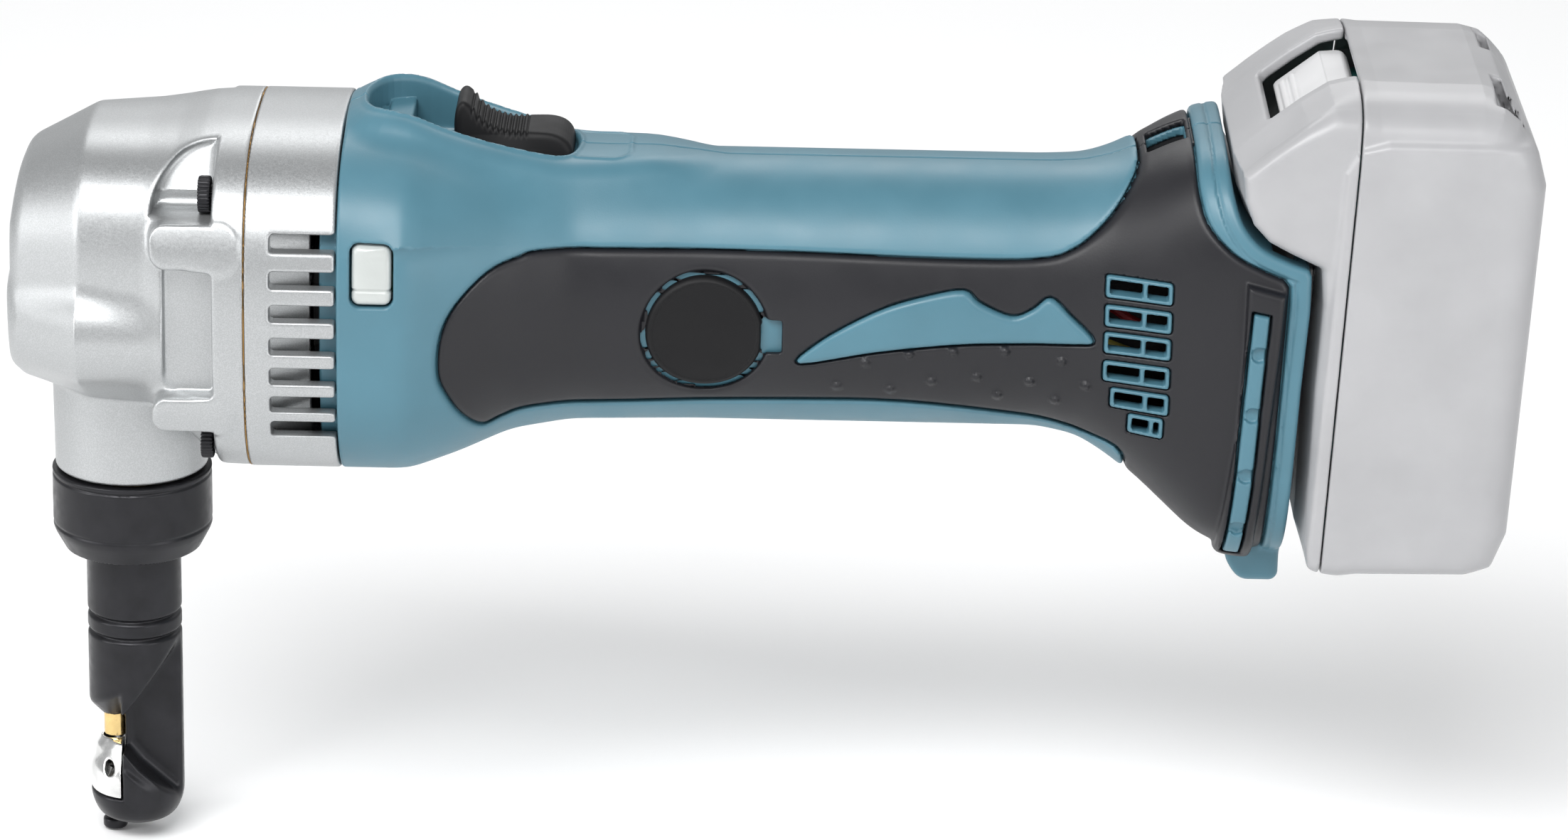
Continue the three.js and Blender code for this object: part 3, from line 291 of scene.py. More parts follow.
def surface(name, field, low, high, step, material, keep=None):
    """Meshes where the field is zero. keep, a field, drops what lies where it is positive."""
    step *= DETAIL
    low = np.array(low, np.float32) - np.float32(2.37 * step)
    axes = [np.arange(a, b + 3 * step, step, dtype=np.float32) for a, b in zip(low, high)]
    values = sample(field, axes)
    inside = values < 0
    shape = [n - 1 for n in values.shape]
    count = np.zeros(shape, np.int8)
    for c in CORNERS:
        count += inside[tuple(slice(o, o + n) for o, n in zip(c, shape))]
    cells = np.argwhere((count > 0) & (count < 8))
    index = np.full(shape, -1, np.int64)
    index[tuple(cells.T)] = np.arange(len(cells))
    points = net_points(values, cells, low, step)
    quads = net_quads(inside, index)
    quads = quads[(quads >= 0).all(1)]
    value, gradient = slope_at(field, points, 0.05)
    move = -(value / np.maximum((gradient**2).sum(1), 0.3))[:, None] * gradient
    length = np.maximum(np.linalg.norm(move, axis=1, keepdims=True), 1e-9)
    points = points + move * np.minimum(1, 0.45 * step / length)
    if keep is not None:
        quads = quads[(keep(tuple(points.T)) < 0)[quads].any(1)]
        used = np.unique(quads)
        quads = np.searchsorted(used, quads)
        points = points[used]
    normals = slope_at(field, points, 0.1)[1]
    normals /= np.maximum(np.linalg.norm(normals, axis=1, keepdims=True), 1e-9)
    return add_mesh(name, points, quads, normals, material)


# ---------------------------------------------------------------- materials
def srgb(*channels):
    """0-255 display values as linear light."""
    shares = (c / 255 for c in channels)
    return tuple(s / 12.92 if s < 0.04045 else ((s + 0.055) / 1.055) ** 2.4 for s in shares)


class Finish:
    """A material made of a Principled shader and the textures that drive it."""

    def __init__(self, name, colour, rough, metal=0.0):
        self.material = bpy.data.materials.new(name)
        self.material.use_nodes = True
        self.tree = self.material.node_tree
        self.shader = self.tree.nodes["Principled BSDF"]
        self.set("Base Color", (*colour, 1))
        self.set("Roughness", rough)
        self.set("Metallic", metal)
        self.colour, self.rough = colour, rough
        self.place = self.node("ShaderNodeTexCoord").outputs["Object"]
        self.normal = None

    def set(self, socket, value):
        self.shader.inputs[socket].default_value = value
        return self

    def node(self, kind, **inputs):
        made = self.tree.nodes.new(kind)
        for key, value in inputs.items():
            socket = made.inputs[key.replace("_", " ")]
            if isinstance(value, bpy.types.NodeSocket):
                self.tree.links.new(value, socket)
            else:
                socket.default_value = value
        return made

    def stretched(self, scale):
        """The object's own coordinates in millimetres, scaled along each axis."""
        mapping = self.node("ShaderNodeMapping", Vector=self.place, Scale=tuple(1000 * s for s in scale))
        return mapping.outputs["Vector"]

    def noise(self, size, detail=3.0, stretch=(1, 1, 1)):
        """Noise whose features are about size millimetres across."""
        vector = self.stretched([s / size for s in stretch])
        return self.node("ShaderNodeTexNoise", Vector=vector, Scale=1.0, Detail=detail).outputs["Fac"]

    def cells(self, size):
        texture = self.node("ShaderNodeTexVoronoi", Vector=self.stretched([1 / size] * 3), Scale=1.0)
        return texture.outputs["Distance"]

    def span(self, value, low, high, start=0.3, end=0.7):
        inputs = {"Value": value, "From_Min": start, "From_Max": end, "To_Min": low, "To_Max": high}
        return self.node("ShaderNodeMapRange", **inputs).outputs["Result"]

    def bump(self, height, depth):
        """Relief depth millimetres deep."""
        inputs = {"Height": height, "Distance": depth * MM, "Strength": 1.0}
        if self.normal is not None:
            inputs["Normal"] = self.normal
        self.normal = self.node("ShaderNodeBump", **inputs).outputs["Normal"]
        self.tree.links.new(self.normal, self.shader.inputs["Normal"])
        return self

    def vary_roughness(self, texture, spread):
        result = self.span(texture, self.rough - spread, self.rough + spread)
        self.tree.links.new(result, self.shader.inputs["Roughness"])
        return self

    def vary_colour(self, texture, low, high):
        """Base colour multiplied by low to high as the texture goes from dark to light."""
        ramp = self.node("ShaderNodeValToRGB", Fac=self.span(texture, 0, 1))
        ramp.color_ramp.elements[0].color = (*(min(1, c * low) for c in self.colour), 1)
        ramp.color_ramp.elements[1].color = (*(min(1, c * high) for c in self.colour), 1)
        self.tree.links.new(ramp.outputs["Color"], self.shader.inputs["Base Color"])
        return self


def moulded(name, colour, rough, grain=0.35, depth=0.012):
    """Spark-eroded plastic: fine grain, faint flow marks and handling sheen."""
    finish = Finish(name, colour, rough)
    finish.vary_colour(finish.noise(18), 0.94, 1.05)
    finish.vary_roughness(finish.noise(9, 5), 0.05)
    finish.bump(finish.noise(grain, 2), depth)
    finish.bump(finish.noise(14, 1), 0.05)
    return finish


def cast_paint():
    """Silver lacquer over a casting: metal flake, orange peel."""
    finish = Finish("cast_aluminium", srgb(176, 178, 179), 0.4, 0.8)
    finish.vary_colour(finish.cells(0.25), 0.9, 1.06)
    finish.vary_roughness(finish.noise(0.5, 2), 0.05)
    finish.bump(finish.noise(0.6, 3), 0.009)
    finish.bump(finish.noise(7, 2), 0.03)
    return finish


def turned_steel(name, colour, rough, metal=0.9, pitch=0.35, depth=0.012):
    """Steel with fine turning marks round z."""
    finish = Finish(name, colour, rough, metal)
    marks = finish.noise(1.0, 4, (0.15, 0.15, 1 / pitch))
    finish.vary_colour(finish.noise(5, 4), 0.8, 1.25)
    finish.vary_roughness(finish.noise(2.5, 5), 0.08)
    finish.bump(marks, depth)
    return finish


def build_materials():
    made = {
        "cast_aluminium": cast_paint(),
        "housing_plastic": moulded("housing_plastic", srgb(71, 113, 128), 0.4),
        "soft_grip": moulded("soft_grip", srgb(26, 26, 30), 0.43, 0.45, 0.015),
        "switch_plastic": moulded("switch_plastic", srgb(13, 13, 15), 0.55),
        "black_oxide_steel": turned_steel("black_oxide_steel", srgb(36, 36, 39), 0.36, 0.6),
        "tool_steel": turned_steel("tool_steel", srgb(225, 225, 224), 0.22, 1.0, 0.2, 0.01),
        "coated_punch": turned_steel("coated_punch", srgb(214, 186, 128), 0.26, 1.0),
        "bearing_steel": turned_steel("bearing_steel", srgb(205, 206, 210), 0.22, 1.0),
        "motor_steel": turned_steel("motor_steel", srgb(150, 152, 156), 0.38, 0.95),
        "copper": turned_steel("copper", srgb(206, 130, 84), 0.32, 1.0),
        "sintered_bronze": turned_steel("sintered_bronze", srgb(172, 136, 84), 0.5, 0.9),
        "carbon": moulded("carbon", srgb(38, 38, 38), 0.75, 0.3, 0.03),
        "lens_plastic": moulded("lens_plastic", srgb(180, 184, 182), 0.2, 0.6, 0.02),
        "inner_plastic": moulded("inner_plastic", srgb(32, 33, 36), 0.5),
        "circuit_board": moulded("circuit_board", srgb(40, 96, 60), 0.45, 0.6, 0.02),
        "pack_plastic": moulded("pack_plastic", srgb(160, 160, 162), 0.34, 0.4),
        "release_plastic": moulded("release_plastic", srgb(205, 205, 206), 0.35),
        "cell_wrap": moulded("cell_wrap", srgb(60, 140, 135), 0.3),
        "yellow_lead": moulded("yellow_lead", srgb(214, 196, 96), 0.4),
        "red_lead": moulded("red_lead", srgb(160, 40, 40), 0.4),
    }
    made["lens_plastic"].set("Subsurface Weight", 0.3).set("Subsurface Radius", (0.002, 0.002, 0.002))
    made["soft_grip"].set("Specular IOR Level", 0.38)
    made["switch_plastic"].set("Specular IOR Level", 0.25)
    return {name: finish.material for name, finish in made.items()}


MATERIALS = build_materials()

# ---------------------------------------------------------------- housing and grips
BODY = [
    (-92, 163, 89.9, 40, 3.0), (-74, 163, 89.9, 40, 3.0), (-63.5, 160, 92.9, 35, 2.8),
    (-53.5, 157.4, 96.5, 30, 2.5), (-41, 155.6, 98.1, 26.6, 2.3), (-15, 155, 98.5, 25.2, 2.25),
    (56, 155, 98.5, 25.2, 2.25), (64.5, 155.3, 96.8, 26, 2.3), (70.5, 156.8, 93.4, 27.4, 2.5),
    (76.5, 159.3, 89.3, 29.4, 2.8), (82.5, 162.2, 84.3, 31.5, 3.2), (88.5, 163.9, 79.2, 33.5, 3.6),
    (95, 163.9, 76.7, 35, 4), (117, 163.9, 75.6, 35.5, 4),
]
MOTOR_Z = 126.4
BODY_FRONT_X = -87.85
SKIN = 1.6
WALL_DEPTH = 4.0
FLANK = 12  # details of a side are cut or added only this far from the middle
SCREW_HOLE = 3.1
LEAN = math.tan(math.radians(2.5))  # of the face that the battery slides along
LEAN_Z = 117.6
REAR = curve([(92.6, 166), (92.9, 162.6), (93.8, 157.2), (95.8, 151.7), (99.5, 147.5), (104.4, 145),
              (109.2, 143.3)], False, 4)
REAR_FACE = [(109.9, 142), (109.9, 134.5), (108.8, 117.6), (107.1, 77), (106.4, 60)]
HOUSING_SIDE = [(-120, 60), (-120, 190), (92.6, 190), *REAR, *REAR_FACE]
GRIP_INNER = curve([(86.7, 165), (86.6, 161.8), (87.2, 156.3), (89.2, 151), (94, 146.2), (99.7, 143.2),
                    (104.5, 141.3)], False, 4)
GRIP_REAR = [(105.7, 139.6), (105.2, 126), (104.5, 108.9), (103.4, 88), (102.6, 60)]
GRIP_FRONT = curve([(74, 84), (73.5, 97.7), (65.4, 101.2), (52.2, 104.7), (27.7, 107.9), (3.3, 107.9),
                    (-29.1, 106.8), (-48.5, 106.3), (-54.9, 104.6), (-58.8, 103.3), (-62.6, 106.7),
                    (-65.6, 111.8), (-67.7, 117.6), (-67.1, 126), (-64, 132.3), (-57.8, 138.2),
                    (-51.6, 140.5), (-46.9, 141.4), (-29.4, 141.3), (2.7, 141.1), (34.8, 140.4),
                    (54.1, 140.7), (62, 142.9), (68.3, 148.1), (73.1, 154.4), (75.7, 159), (76.4, 166)],
                   False, 4)
GRIP_AREA = [(72, 60), *GRIP_FRONT, (76.6, 190), (86.2, 190), *GRIP_INNER, *GRIP_REAR]
INLAY = curve([(6.3, 117.4), (9.5, 121.6), (16, 126), (23.8, 130), (32, 132.6), (39.7, 134), (43, 131.5),
               (49.6, 128.8), (54, 130.4), (57.5, 132.9), (61.6, 129.4), (66.5, 124.4), (63, 123.4),
               (52, 123.1), (38.5, 122.5), (22, 120.4)], True, 4)
BUMPER = [(96.6, 140.7), (105.2, 138.6), (104.4, 125.9), (102.9, 107.2), (101.4, 86), (100.8, 60),
          (92.2, 60), (93, 84), (95.7, 108.6), (96.5, 125.7)]
STRIP = [(98.1, 134.9), (101.9, 134.2), (100.9, 117.3), (99.9, 98), (98.4, 79), (94.6, 79), (96, 98),
         (97.1, 117.3)]
DIMPLES = [(99.8, 125.8), (99, 112.7), (98.3, 99.3), (97.2, 86.8)]
BUMPS = [(19.9, 118), (28.9, 120.3), (37.9, 121), (48.5, 121.3), (60.2, 119.5), (14.1, 112.1), (25.1, 111.5),
         (33.6, 113.8), (42.9, 115.2), (53.8, 114.3), (65.2, 114.2), (47.3, 110.5), (59.2, 109.8)]
BRUSH_DISC = (-13.35, 123.7)
DISC_RADIUS = 12.15
NOTCH = ((0.7, 123.25), (1.9, 3.65))
# Louvre rows: top z, first x, last x.
VENT_ROWS = [(138.5, 68.7, 82.1), (132.4, 68.7, 82.1), (126.6, 68.7, 82.1), (120.4, 68.7, 82.1),
             (114.5, 70.4, 82.1), (109.1, 74.2, 81.2)]
LAMP = ((-80.7, 139.55), (4.2, 6.35))
COAMING = curve(both_sides([(-87.4, 0), (-86.4, 7.6), (-82, 14.2), (-74, 16.9), (-64, 16.4), (-50, 14.6),
                            (-38, 12.8), (-26, 10.5), (-17, 7), (-13, 0)]), True, 3)
# The coaming's height: x, then z.
COAMING_TOP = ([-90, -84, -78, -73, -67, -60, -50, -42, -34, -24, -17, -6],
               [163.6, 165.8, 166.3, 165.3, 162.4, 159.9, 157.2, 155, 154.9, 155.5, 154, 151])
POCKET = curve(both_sides([(-83.6, 0), (-82.8, 6.4), (-79.4, 11.4), (-72, 13.4), (-62, 12.7), (-52, 11.5),
                           (-45, 10.2), (-41.6, 7), (-40.4, 0)]), True, 4)
HOUSING_SCREWS = [(-81, 99), (40, 107.5), (46, 147), (92, 88), (84, 150)]
KNOB_FLOOR_Z = 154.3

BODY_FORM = Loft(BODY)
SIDE_PLAN = Plan(HOUSING_SIDE)
GRIP_PLAN = Plan(GRIP_AREA)
INLAY_PLAN = Plan(INLAY, (0, 108), (74, 142))
BUMPER_PLAN = Plan(BUMPER, (84, 66), (114, 146))
STRIP_PLAN = Plan(STRIP, (84, 66), (114, 146))
COAMING_PLAN = Plan(COAMING, (-96, -24), (0, 24))
COAMING_LINE = Line(*COAMING_TOP, 2.0)
POCKET_PLAN = Plan(POCKET, (-96, -24), (0, 24))


def rear_x(z):
    """Where the face that the battery slides along lies at each height."""
    return 108.6 + LEAN * (z - LEAN_Z)


def coaming(p):
    """The raised surround of the switch."""
    x, y, z = p
    top = COAMING_LINE(x)
    wall = COAMING_PLAN(x, y) * 0.96 - (top - z) * 0.27
    return np.maximum(smax(wall, z - top, 3.5), 147 - z)


def envelope(p):
    """Outside of the handle, before it is split into housing and grips."""
    x, y, z = p
    handle = smax(BODY_FORM(p), SIDE_PLAN(x, z), 1.4)
    joined = smin(handle, coaming(p), 5.5)
    above = 1 / (1 + np.exp((153.5 - z) * 1.5))
    lip = 0.5 * ridge(POCKET_PLAN(x, y) - 0.9, 0.6)
    return joined - lip * above


def vent_holes(x, z):
    """The two openings of every louvre."""
    holes = []
    for top, start, end in VENT_ROWS:
        middle = (start + end) / 2 + 1.2
        for low, high in ((start + 0.8, middle - 0.45), (middle + 0.45, end - 0.8)):
            holes.append(rect(x, z, ((low + high) / 2, top - 2.2), ((high - low) / 2, 1.45), 0.3))
    return np.minimum.reduce(np.broadcast_arrays(*holes))


def vent_frames(x, z):
    """The outside of every louvre's frame."""
    frames = [rect(x, z, ((start + end) / 2, top - 2.2), ((end - start) / 2, 2.25), 0.6)
              for top, start, end in VENT_ROWS]
    return np.minimum.reduce(np.broadcast_arrays(*frames))


def strap_hole(p):
    return block(p, (77.3, -6.4, 150), (85.2, 6.4, 175), 0.8)


def tongue_slot(p):
    """Room for the battery's tongue behind the rear face."""
    x, y, z = p
    ahead = rear_x(z) - x
    neck = np.maximum(np.maximum(ahead - 7.6, np.abs(y) - 26), 91 - z)
    rails = np.maximum(between(ahead, 3.2, 7.6), np.maximum(np.abs(y) - 29.5, 91 - z))
    return np.minimum(neck, rails)


def housing(p, side):
    """One half of the blue-green housing, with everything on its outside and the switch's pocket."""
    x, y, z = p
    out = envelope(p)
    area = GRIP_PLAN(x, z)
    rear = SIDE_PLAN(x, z)
    rim = out + 0.4 * ridge(rear + 3.1, 0.42)
    shape = smin(smax(rim, -area, 1.3), out + SKIN + 0.3)
    far_out = FLANK - np.abs(y)
    shape = np.minimum(shape, smax(smax(out - 0.4, INLAY_PLAN(x, z), 1.4), far_out))
    strip = smax(out - 2.1, STRIP_PLAN(x, z) + 0.35, 0.9)
    for cx, cz in DIMPLES:
        strip = carve(strip, smax(disc(x, z, (cx, cz), 1.6), -(out - 0.9), 0.6), 0.5)
    shape = np.minimum(shape, smax(strip, far_out + 8))
    shape = np.minimum(shape, smax(smax(out - 0.1, vent_frames(x, z), 0.6), far_out))
    shape = carve(shape, np.maximum(vent_holes(x, z), far_out), 0.4)
    shape = carve(shape, smax(POCKET_PLAN(x, y), KNOB_FLOOR_Z - z, 1.6), 1.1)
    steps = np.minimum(block(p, (-84, -14, 150), (-79, 14, 160.4), 0.8),
                       block(p, (-80, -14, 150), (-74.6, 14, 161.6), 0.7))
    shape = np.minimum(shape, smax(steps, POCKET_PLAN(x, y) - 1))
    shape = carve(shape, block(p, (-73, -8, 146), (-46, 8, 160), 0.6), 0.4)
    patch = np.abs(rect(x, y, (-36.6, 0), (7.4, 9), 4)) - 0.3
    patch = smax(patch, between(z, 150, 160))
    shape = np.where(x > -41, shape - 0.3 * ridge(patch + 0.3, 0.45) * (z > 150), shape)
    lamp = rect(x, z, *LAMP, 1.8)
    shape = carve(shape, smax(lamp - 0.25, -(out + 6)), 0.5)
    shape = carve(shape, smax(disc(x, z, BRUSH_DISC, DISC_RADIUS - 0.8), far_out), 0.3)
    shape = carve(shape, strap_hole(p), 0.6)
    shape = carve(shape, tongue_slot(p), 0.6)
    if side > 0:
        for centre in HOUSING_SCREWS:
            shape = carve(shape, smax(disc(x, z, centre, SCREW_HOLE), 13.9 - y), 0.4)
    spigot = smax(np.abs(out + 4.6) - 1, between(x, -91.5, -84))
    floor = np.maximum(POCKET_PLAN(x, y) - 2.5, 150.8 - z)
    hollow = carve(smax(out + WALL_DEPTH, x - 95.5), floor)
    shape = carve(shape, hollow, 0.5)
    shape = smax(shape, BODY_FRONT_X - x, 0.8)
    tab = block(p, (96, -19, 69.4), (107.4, 19, 80), 2.0)
    tab = smax(tab, (98.2 - x) * 0.8 + (71 - z) * 0.6, 1.5)
    shape = smin(shape, tab, 1.5)
    shape = np.minimum(shape, smax(spigot, rear))
    return smax(shape, 0.13 - side * y, 0.5)


def grip(p, side):
    """One half of the rubber skin, open round every housing detail."""
    x, y, z = p
    out = envelope(p)
    area = GRIP_PLAN(x, z)
    domes = sum(np.clip(1 - ((x - a) ** 2 + (z - b) ** 2) / 1.7, 0, 1) ** 1.5 for a, b in BUMPS)
    skin = smax(out + 0.3 - 0.9 * domes, area + 0.28, 1.5)
    bumper = smax(smax(out - 1.9, BUMPER_PLAN(x, z) + 0.4, 1.5), area + 0.3)
    skin = smin(skin, smax(bumper, 18 - np.abs(y)), 1.0)
    side_out = FLANK - np.abs(y)
    for plan, room in ((INLAY_PLAN, 0.35), (STRIP_PLAN, 0.1)):
        skin = carve(skin, smax(plan(x, z) - room, side_out), 0.8)
    skin = carve(skin, np.maximum(vent_frames(x, z) - 0.2, side_out), 0.5)
    ring = disc(x, z, BRUSH_DISC, DISC_RADIUS + 0.95)
    skin = carve(skin, smax(smax(ring, -(out + 1.55)), side_out), 1.6)
    notch = smax(rect(x, z, *NOTCH, 0.5), side_out)
    skin = carve(skin, notch, 0.6)
    skin = carve(skin, strap_hole(p), 0.8)
    if side > 0:
        for centre in HOUSING_SCREWS:
            skin = carve(skin, smax(disc(x, z, centre, SCREW_HOLE), -y), 0.6)
    skin = smax(skin, -(out + SKIN + 0.15))
    return smax(skin, 0.13 - side * y, 0.5)


def brush_cover(p):
    x, y, z = p
    out = envelope(p)
    plate = smax(out + 0.05, disc(x, z, BRUSH_DISC, DISC_RADIUS), 1.8)
    plate = smax(plate, -(out + 2.4))
    dish = smax(disc(x, z, BRUSH_DISC, DISC_RADIUS - 1.5), -(out + 0.28))
    plate = carve(plate, dish, 0.6)
    return carve(plate, rect(x, z, (0, 123.25), (1.7, 2.6), 0.3), 0.5)


def shade_backing(p):
    """Dark ribbed partition behind the louvres, and the dark well under the strap hole: painted shade that
    keeps these openings dark, standing in for the shaded inside of the housing, partly real as the housing's
    dark inner parts.
    """
    x, y, z = p
    wall = block(p, (60, -0.9, 101), (90, 0.9, 143), 0.4)
    ribs = smax(np.abs((z - 103) % 6 - 3) - 0.6, block(p, (62, -3.4, 102), (88, 3.4, 142), 0.3), 0.2)
    well = block(p, (75.8, -9, 150), (86.8, 9, 163), 0.5)
    well = carve(well, block(p, (77, -6.8, 152), (85.5, 6.8, 170), 0.5))
    well = np.maximum(well, envelope(p) + 1.0)
    return np.minimum(np.minimum(wall, ribs), well)


def lamp_lens(p):
    x, y, z = p
    face = rect(x, z, *LAMP, 1.8) + 0.15
    out = envelope(p)
    lens = smax(out + 0.35, face, 1.4) + 0.25 * ridge(z - 136.4, 0.35)
    return smax(lens, -(out + 3.2))


def knob(p):
    """Thumb slider: tall front lip, ribbed dip, flat tail and flared skirt."""
    x, y, z = p
    side = curve([(-65.6, 154), (-65.8, 160), (-65.7, 163.8), (-65, 166), (-63.8, 166.8), (-62.4, 165.9),
                  (-60.6, 163.6), (-58, 161.8), (-54, 160.7), (-50, 160.7), (-46, 160.6), (-43.4, 159.8),
                  (-41.8, 158.2), (-41.2, 156), (-41.4, 154)], False, 4)
    ribs = 0.28 * np.sin((x + 61.9) * (2 * math.pi / 1.15)) * ((x > -62.4) & (x < -50.6))
    profile = outline(x, z, side) - ribs
    flare = np.clip((157.4 - z) / 3, 0, 1) ** 2 * 0.9
    waist = np.exp(-(((x + 55) / 7) ** 2)) * np.clip((z - 156) / 4, 0, 1)
    lean = np.clip(z - 157, 0, 10) * 0.12
    width = np.abs(y) - (7.9 + flare - waist - lean)
    body = smax(profile, width, 1.5)
    return smax(body, 154.6 - z, 0.4)


# ---------------------------------------------------------------- gear housing and its cover
SEAM_X = -106.6
HEAD_SCREWS = [(y, MOTOR_Z + dz) for y in (-28.5, 28.5) for dz in (26.5, -26.5)]
NOSE = [
    (-157, 152.4, 106.6, 21, 2.7), (-155.4, 153.4, 106, 22, 2.7), (-141.2, 160.2, 103, 31.4, 2.9),
    (-128, 160.9, 102.6, 33.4, 3), (-122, 161.6, 99, 35.8, 3), (-116.5, 162.6, 93, 38.8, 3),
    (-112.5, 162.9, 90.2, 39.8, 3), (-100, 162.9, 89.9, 40, 3),
]
HEAD = [(-110, 162.9, 89.9, 40, 3), (-80, 162.9, 89.9, 40, 3)]
NOSE_FORM, HEAD_FORM = Loft(NOSE, 0.6), Loft(HEAD, 1.0)
HEAD_X = -134.2  # axis of the lock nut, holder and ram
HEAD_SCREW_HOLE = 2.3
VENT_LEVELS = [145.6, 138.3, 131.3, 124.3, 117.8, 111.5, 105.7]


def crank_boss(p):
    """The rounded side bulge over the crank, tapering towards the nose."""
    x, y, z = p
    ahead = np.clip((-141.5 - x) / 15, 0, 1)
    radius = 11.9 - 1.6 * ahead
    reach = 23.9 - 10.6 * ahead
    tube = np.hypot(np.maximum(np.abs(y) - reach, 0), z - (122.2 - 0.6 * ahead)) - radius
    return smax(smax(tube * 0.88, x + 116), -156.6 - x, 2.2)


def screw_pocket(x, y, z, side):
    """Quarter-round scoop beside a cap screw, above (1) or below (-1) the boss bands."""
    edge, wide, tall = (149, 12.6, 12.4) if side > 0 else (104.2, 10.4, 11)
    up = side * (z - edge)
    plan = (np.hypot((x + 113.6) / wide, up / tall) - 1) * 10
    plan = np.maximum(np.maximum(plan, x + 113.4), -up)
    wall = 24.1 - 0.9 * np.maximum(up - 3.4, 0)
    return smax(plan, wall - np.abs(y), 3.0)


def off_axis(p, centre_x=HEAD_X):
    """Distance from an upright axis."""
    return np.hypot(p[0] - centre_x, p[1])


def gear_housing(p):
    x, y, z = p
    shape = smax(NOSE_FORM(p), -156.5 - x + np.maximum(z - 142, 0) * 0.12, 2.6)
    bands = np.minimum(rect(x, z, (-117, 144.2), (8.8, 4.8), 3.6),
                       rect(x, z, (-117.6, 108.2), (8, 4.2), 3.4))
    boss = smax(smax(bands, np.abs(y) - 38.8, 1.6), HEAD_FORM(p), 0.6)
    shape = smin(shape, boss, 1.6)
    for side in (1, -1):
        shape = carve(shape, screw_pocket(x, y, z, side), 0.9)
    shape = smin(shape, crank_boss(p), 2.4)
    panel = rect(x, z, (-118.3, 125.8), (5.1, 13.4), 1.2)
    shape = carve(shape, smax(panel, 33.9 - np.abs(y), 0.9), 0.8)
    neck = off_axis(p) - (16.3 - (106 - z) * 0.012)
    neck = smax(neck, between(z, 84.2, 118), 0.9)
    shape = smin(shape, neck, 2.0)
    shape = smax(shape, x - (SEAM_X - 0.15), 0.25)
    for cy, cz in HEAD_SCREWS:
        shape = carve(shape, smax(disc(y, z, (cy, cz), HEAD_SCREW_HOLE), between(x, -116, -100)))
    for radius, top in ((12.6, 96), (8.3, 118)):
        shape = carve(shape, smax(off_axis(p) - radius, z - top, 0.3))
    return carve(shape, block(p, (HEAD_X - 9.2, -9.2, 117), (HEAD_X + 5, 9.2, 155)))


def housing_cover(p):
    x, y, z = p
    outside = HEAD_FORM(p)
    shape = smax(smax(outside, SEAM_X + 0.15 - x, 0.25), x + 88.15, 0.7)
    for level in VENT_LEVELS:
        slot = rect(x, z, (-88, level), (13.4, 1.75), 0.8)
        shape = carve(shape, smax(slot, 20 - np.abs(y)), 0.7)
    room = smax(outside + 3.4, -103 - x)
    shape = carve(shape, room, 0.4)
    baffle = smax(np.abs(outside + 4.4 + (x + 102) * 0.3) - 0.8, between(x, -104, -93.5), 0.3)
    shape = np.minimum(shape, baffle)
    for cy, cz in HEAD_SCREWS:
        shape = carve(shape, smax(disc(y, z, (cy, cz), HEAD_SCREW_HOLE), -101 - x))
    return shape


def gasket(p):
    """The thin line between the two aluminium castings."""
    return smax(np.abs(HEAD_FORM(p) + 1.2) - 1.12, between(p[0], SEAM_X - 0.13, SEAM_X + 0.13))


def head_screw(cy, cz):
    """Socket-head screw lying along x."""

    def field(p):
        x, y, z = p
        head = smax(disc(y, z, (cy, cz), 3.75), between(x, -116.4, -113.9), 0.6)
        knurl = 0.09 * np.cos(np.arctan2(z - cz, y - cy) * 30)
        shape = smin(head - knurl, smax(disc(y, z, (cy, cz), 2.0), between(x, -114, -94), 0.3), 0.2)
        return carve(shape, smax(hexagon(z - cz, y - cy) - 1.5, x + 115), 0.25)

    return field


# ---------------------------------------------------------------- lock nut, die holder, die and punch
BOLT_X = -139.2
PUNCH_X = -138.7


def lock_nut(p):
    z = p[2]
    radius = off_axis(p)
    profile = [(10.3, 66), (14.4, 66), (17, 70.9), (17, 83.7), (14.4, 83.7), (14.4, 70.4), (10.3, 70.4)]
    shape = smax(turned(radius, z, profile), radius - 17, 0.8)
    return shape + 0.3 * ridge(z - 82.4, 0.3) + 0.22 * ridge(z - 71.6, 0.35)


def side_cut(p):
    """What the barrel loses beside its web, above the base."""
    x, y, z = p
    points = [(-136.2, 29.2), (-124.2, 45.6), (-120, 51), (-120, 6), (-124.4, 9), (-133, 16.6),
              (-136.2, 20.5)]
    return smax(outline(x, z, points), 2.3 - np.abs(y), 2.2)


def die_holder(p):
    x, y, z = p
    radius = off_axis(p)
    shape = smax(radius - 10, between(z, 2.6, 70.7), 1.2)
    shape = smax(shape, (radius - 10) * 0.7 + (8.4 - z) * 0.7 - 1.6, 3)
    shape = smin(shape, smax(radius - 12.4, between(z, 70.2, 78), 0.8))
    for groove in (50.9, 46.8):
        shape = shape + 0.8 * ridge(z - groove, 0.5)
    tip = off_axis(p, PUNCH_X)
    cone = (z - 27.2) * 0.66 - (tip - 3.0) * 0.72
    cutter = smax(smax(cone, x + 136.5, 1.0), 10 - z)
    shape = carve(shape, cutter, 0.8)
    shape = carve(shape, side_cut(p), 1.0)
    for lean in (0.0, 4.2):
        line = (x + 131.5 - lean) * 0.62 + (z - 15.2) * 0.78
        channel = smax(np.hypot(line * 0.9, np.abs(y) - 10.3) - 1.6, z - 20)
        shape = carve(shape, channel, 0.8)
    shape = carve(shape, smax(tip - 2.8, between(z, 17, 62)))
    shape = carve(shape, smax(radius - 4.5, between(z, 38.9, 90)))
    return carve(shape, smax(off_axis(p, BOLT_X) - 1.75, z - 12))


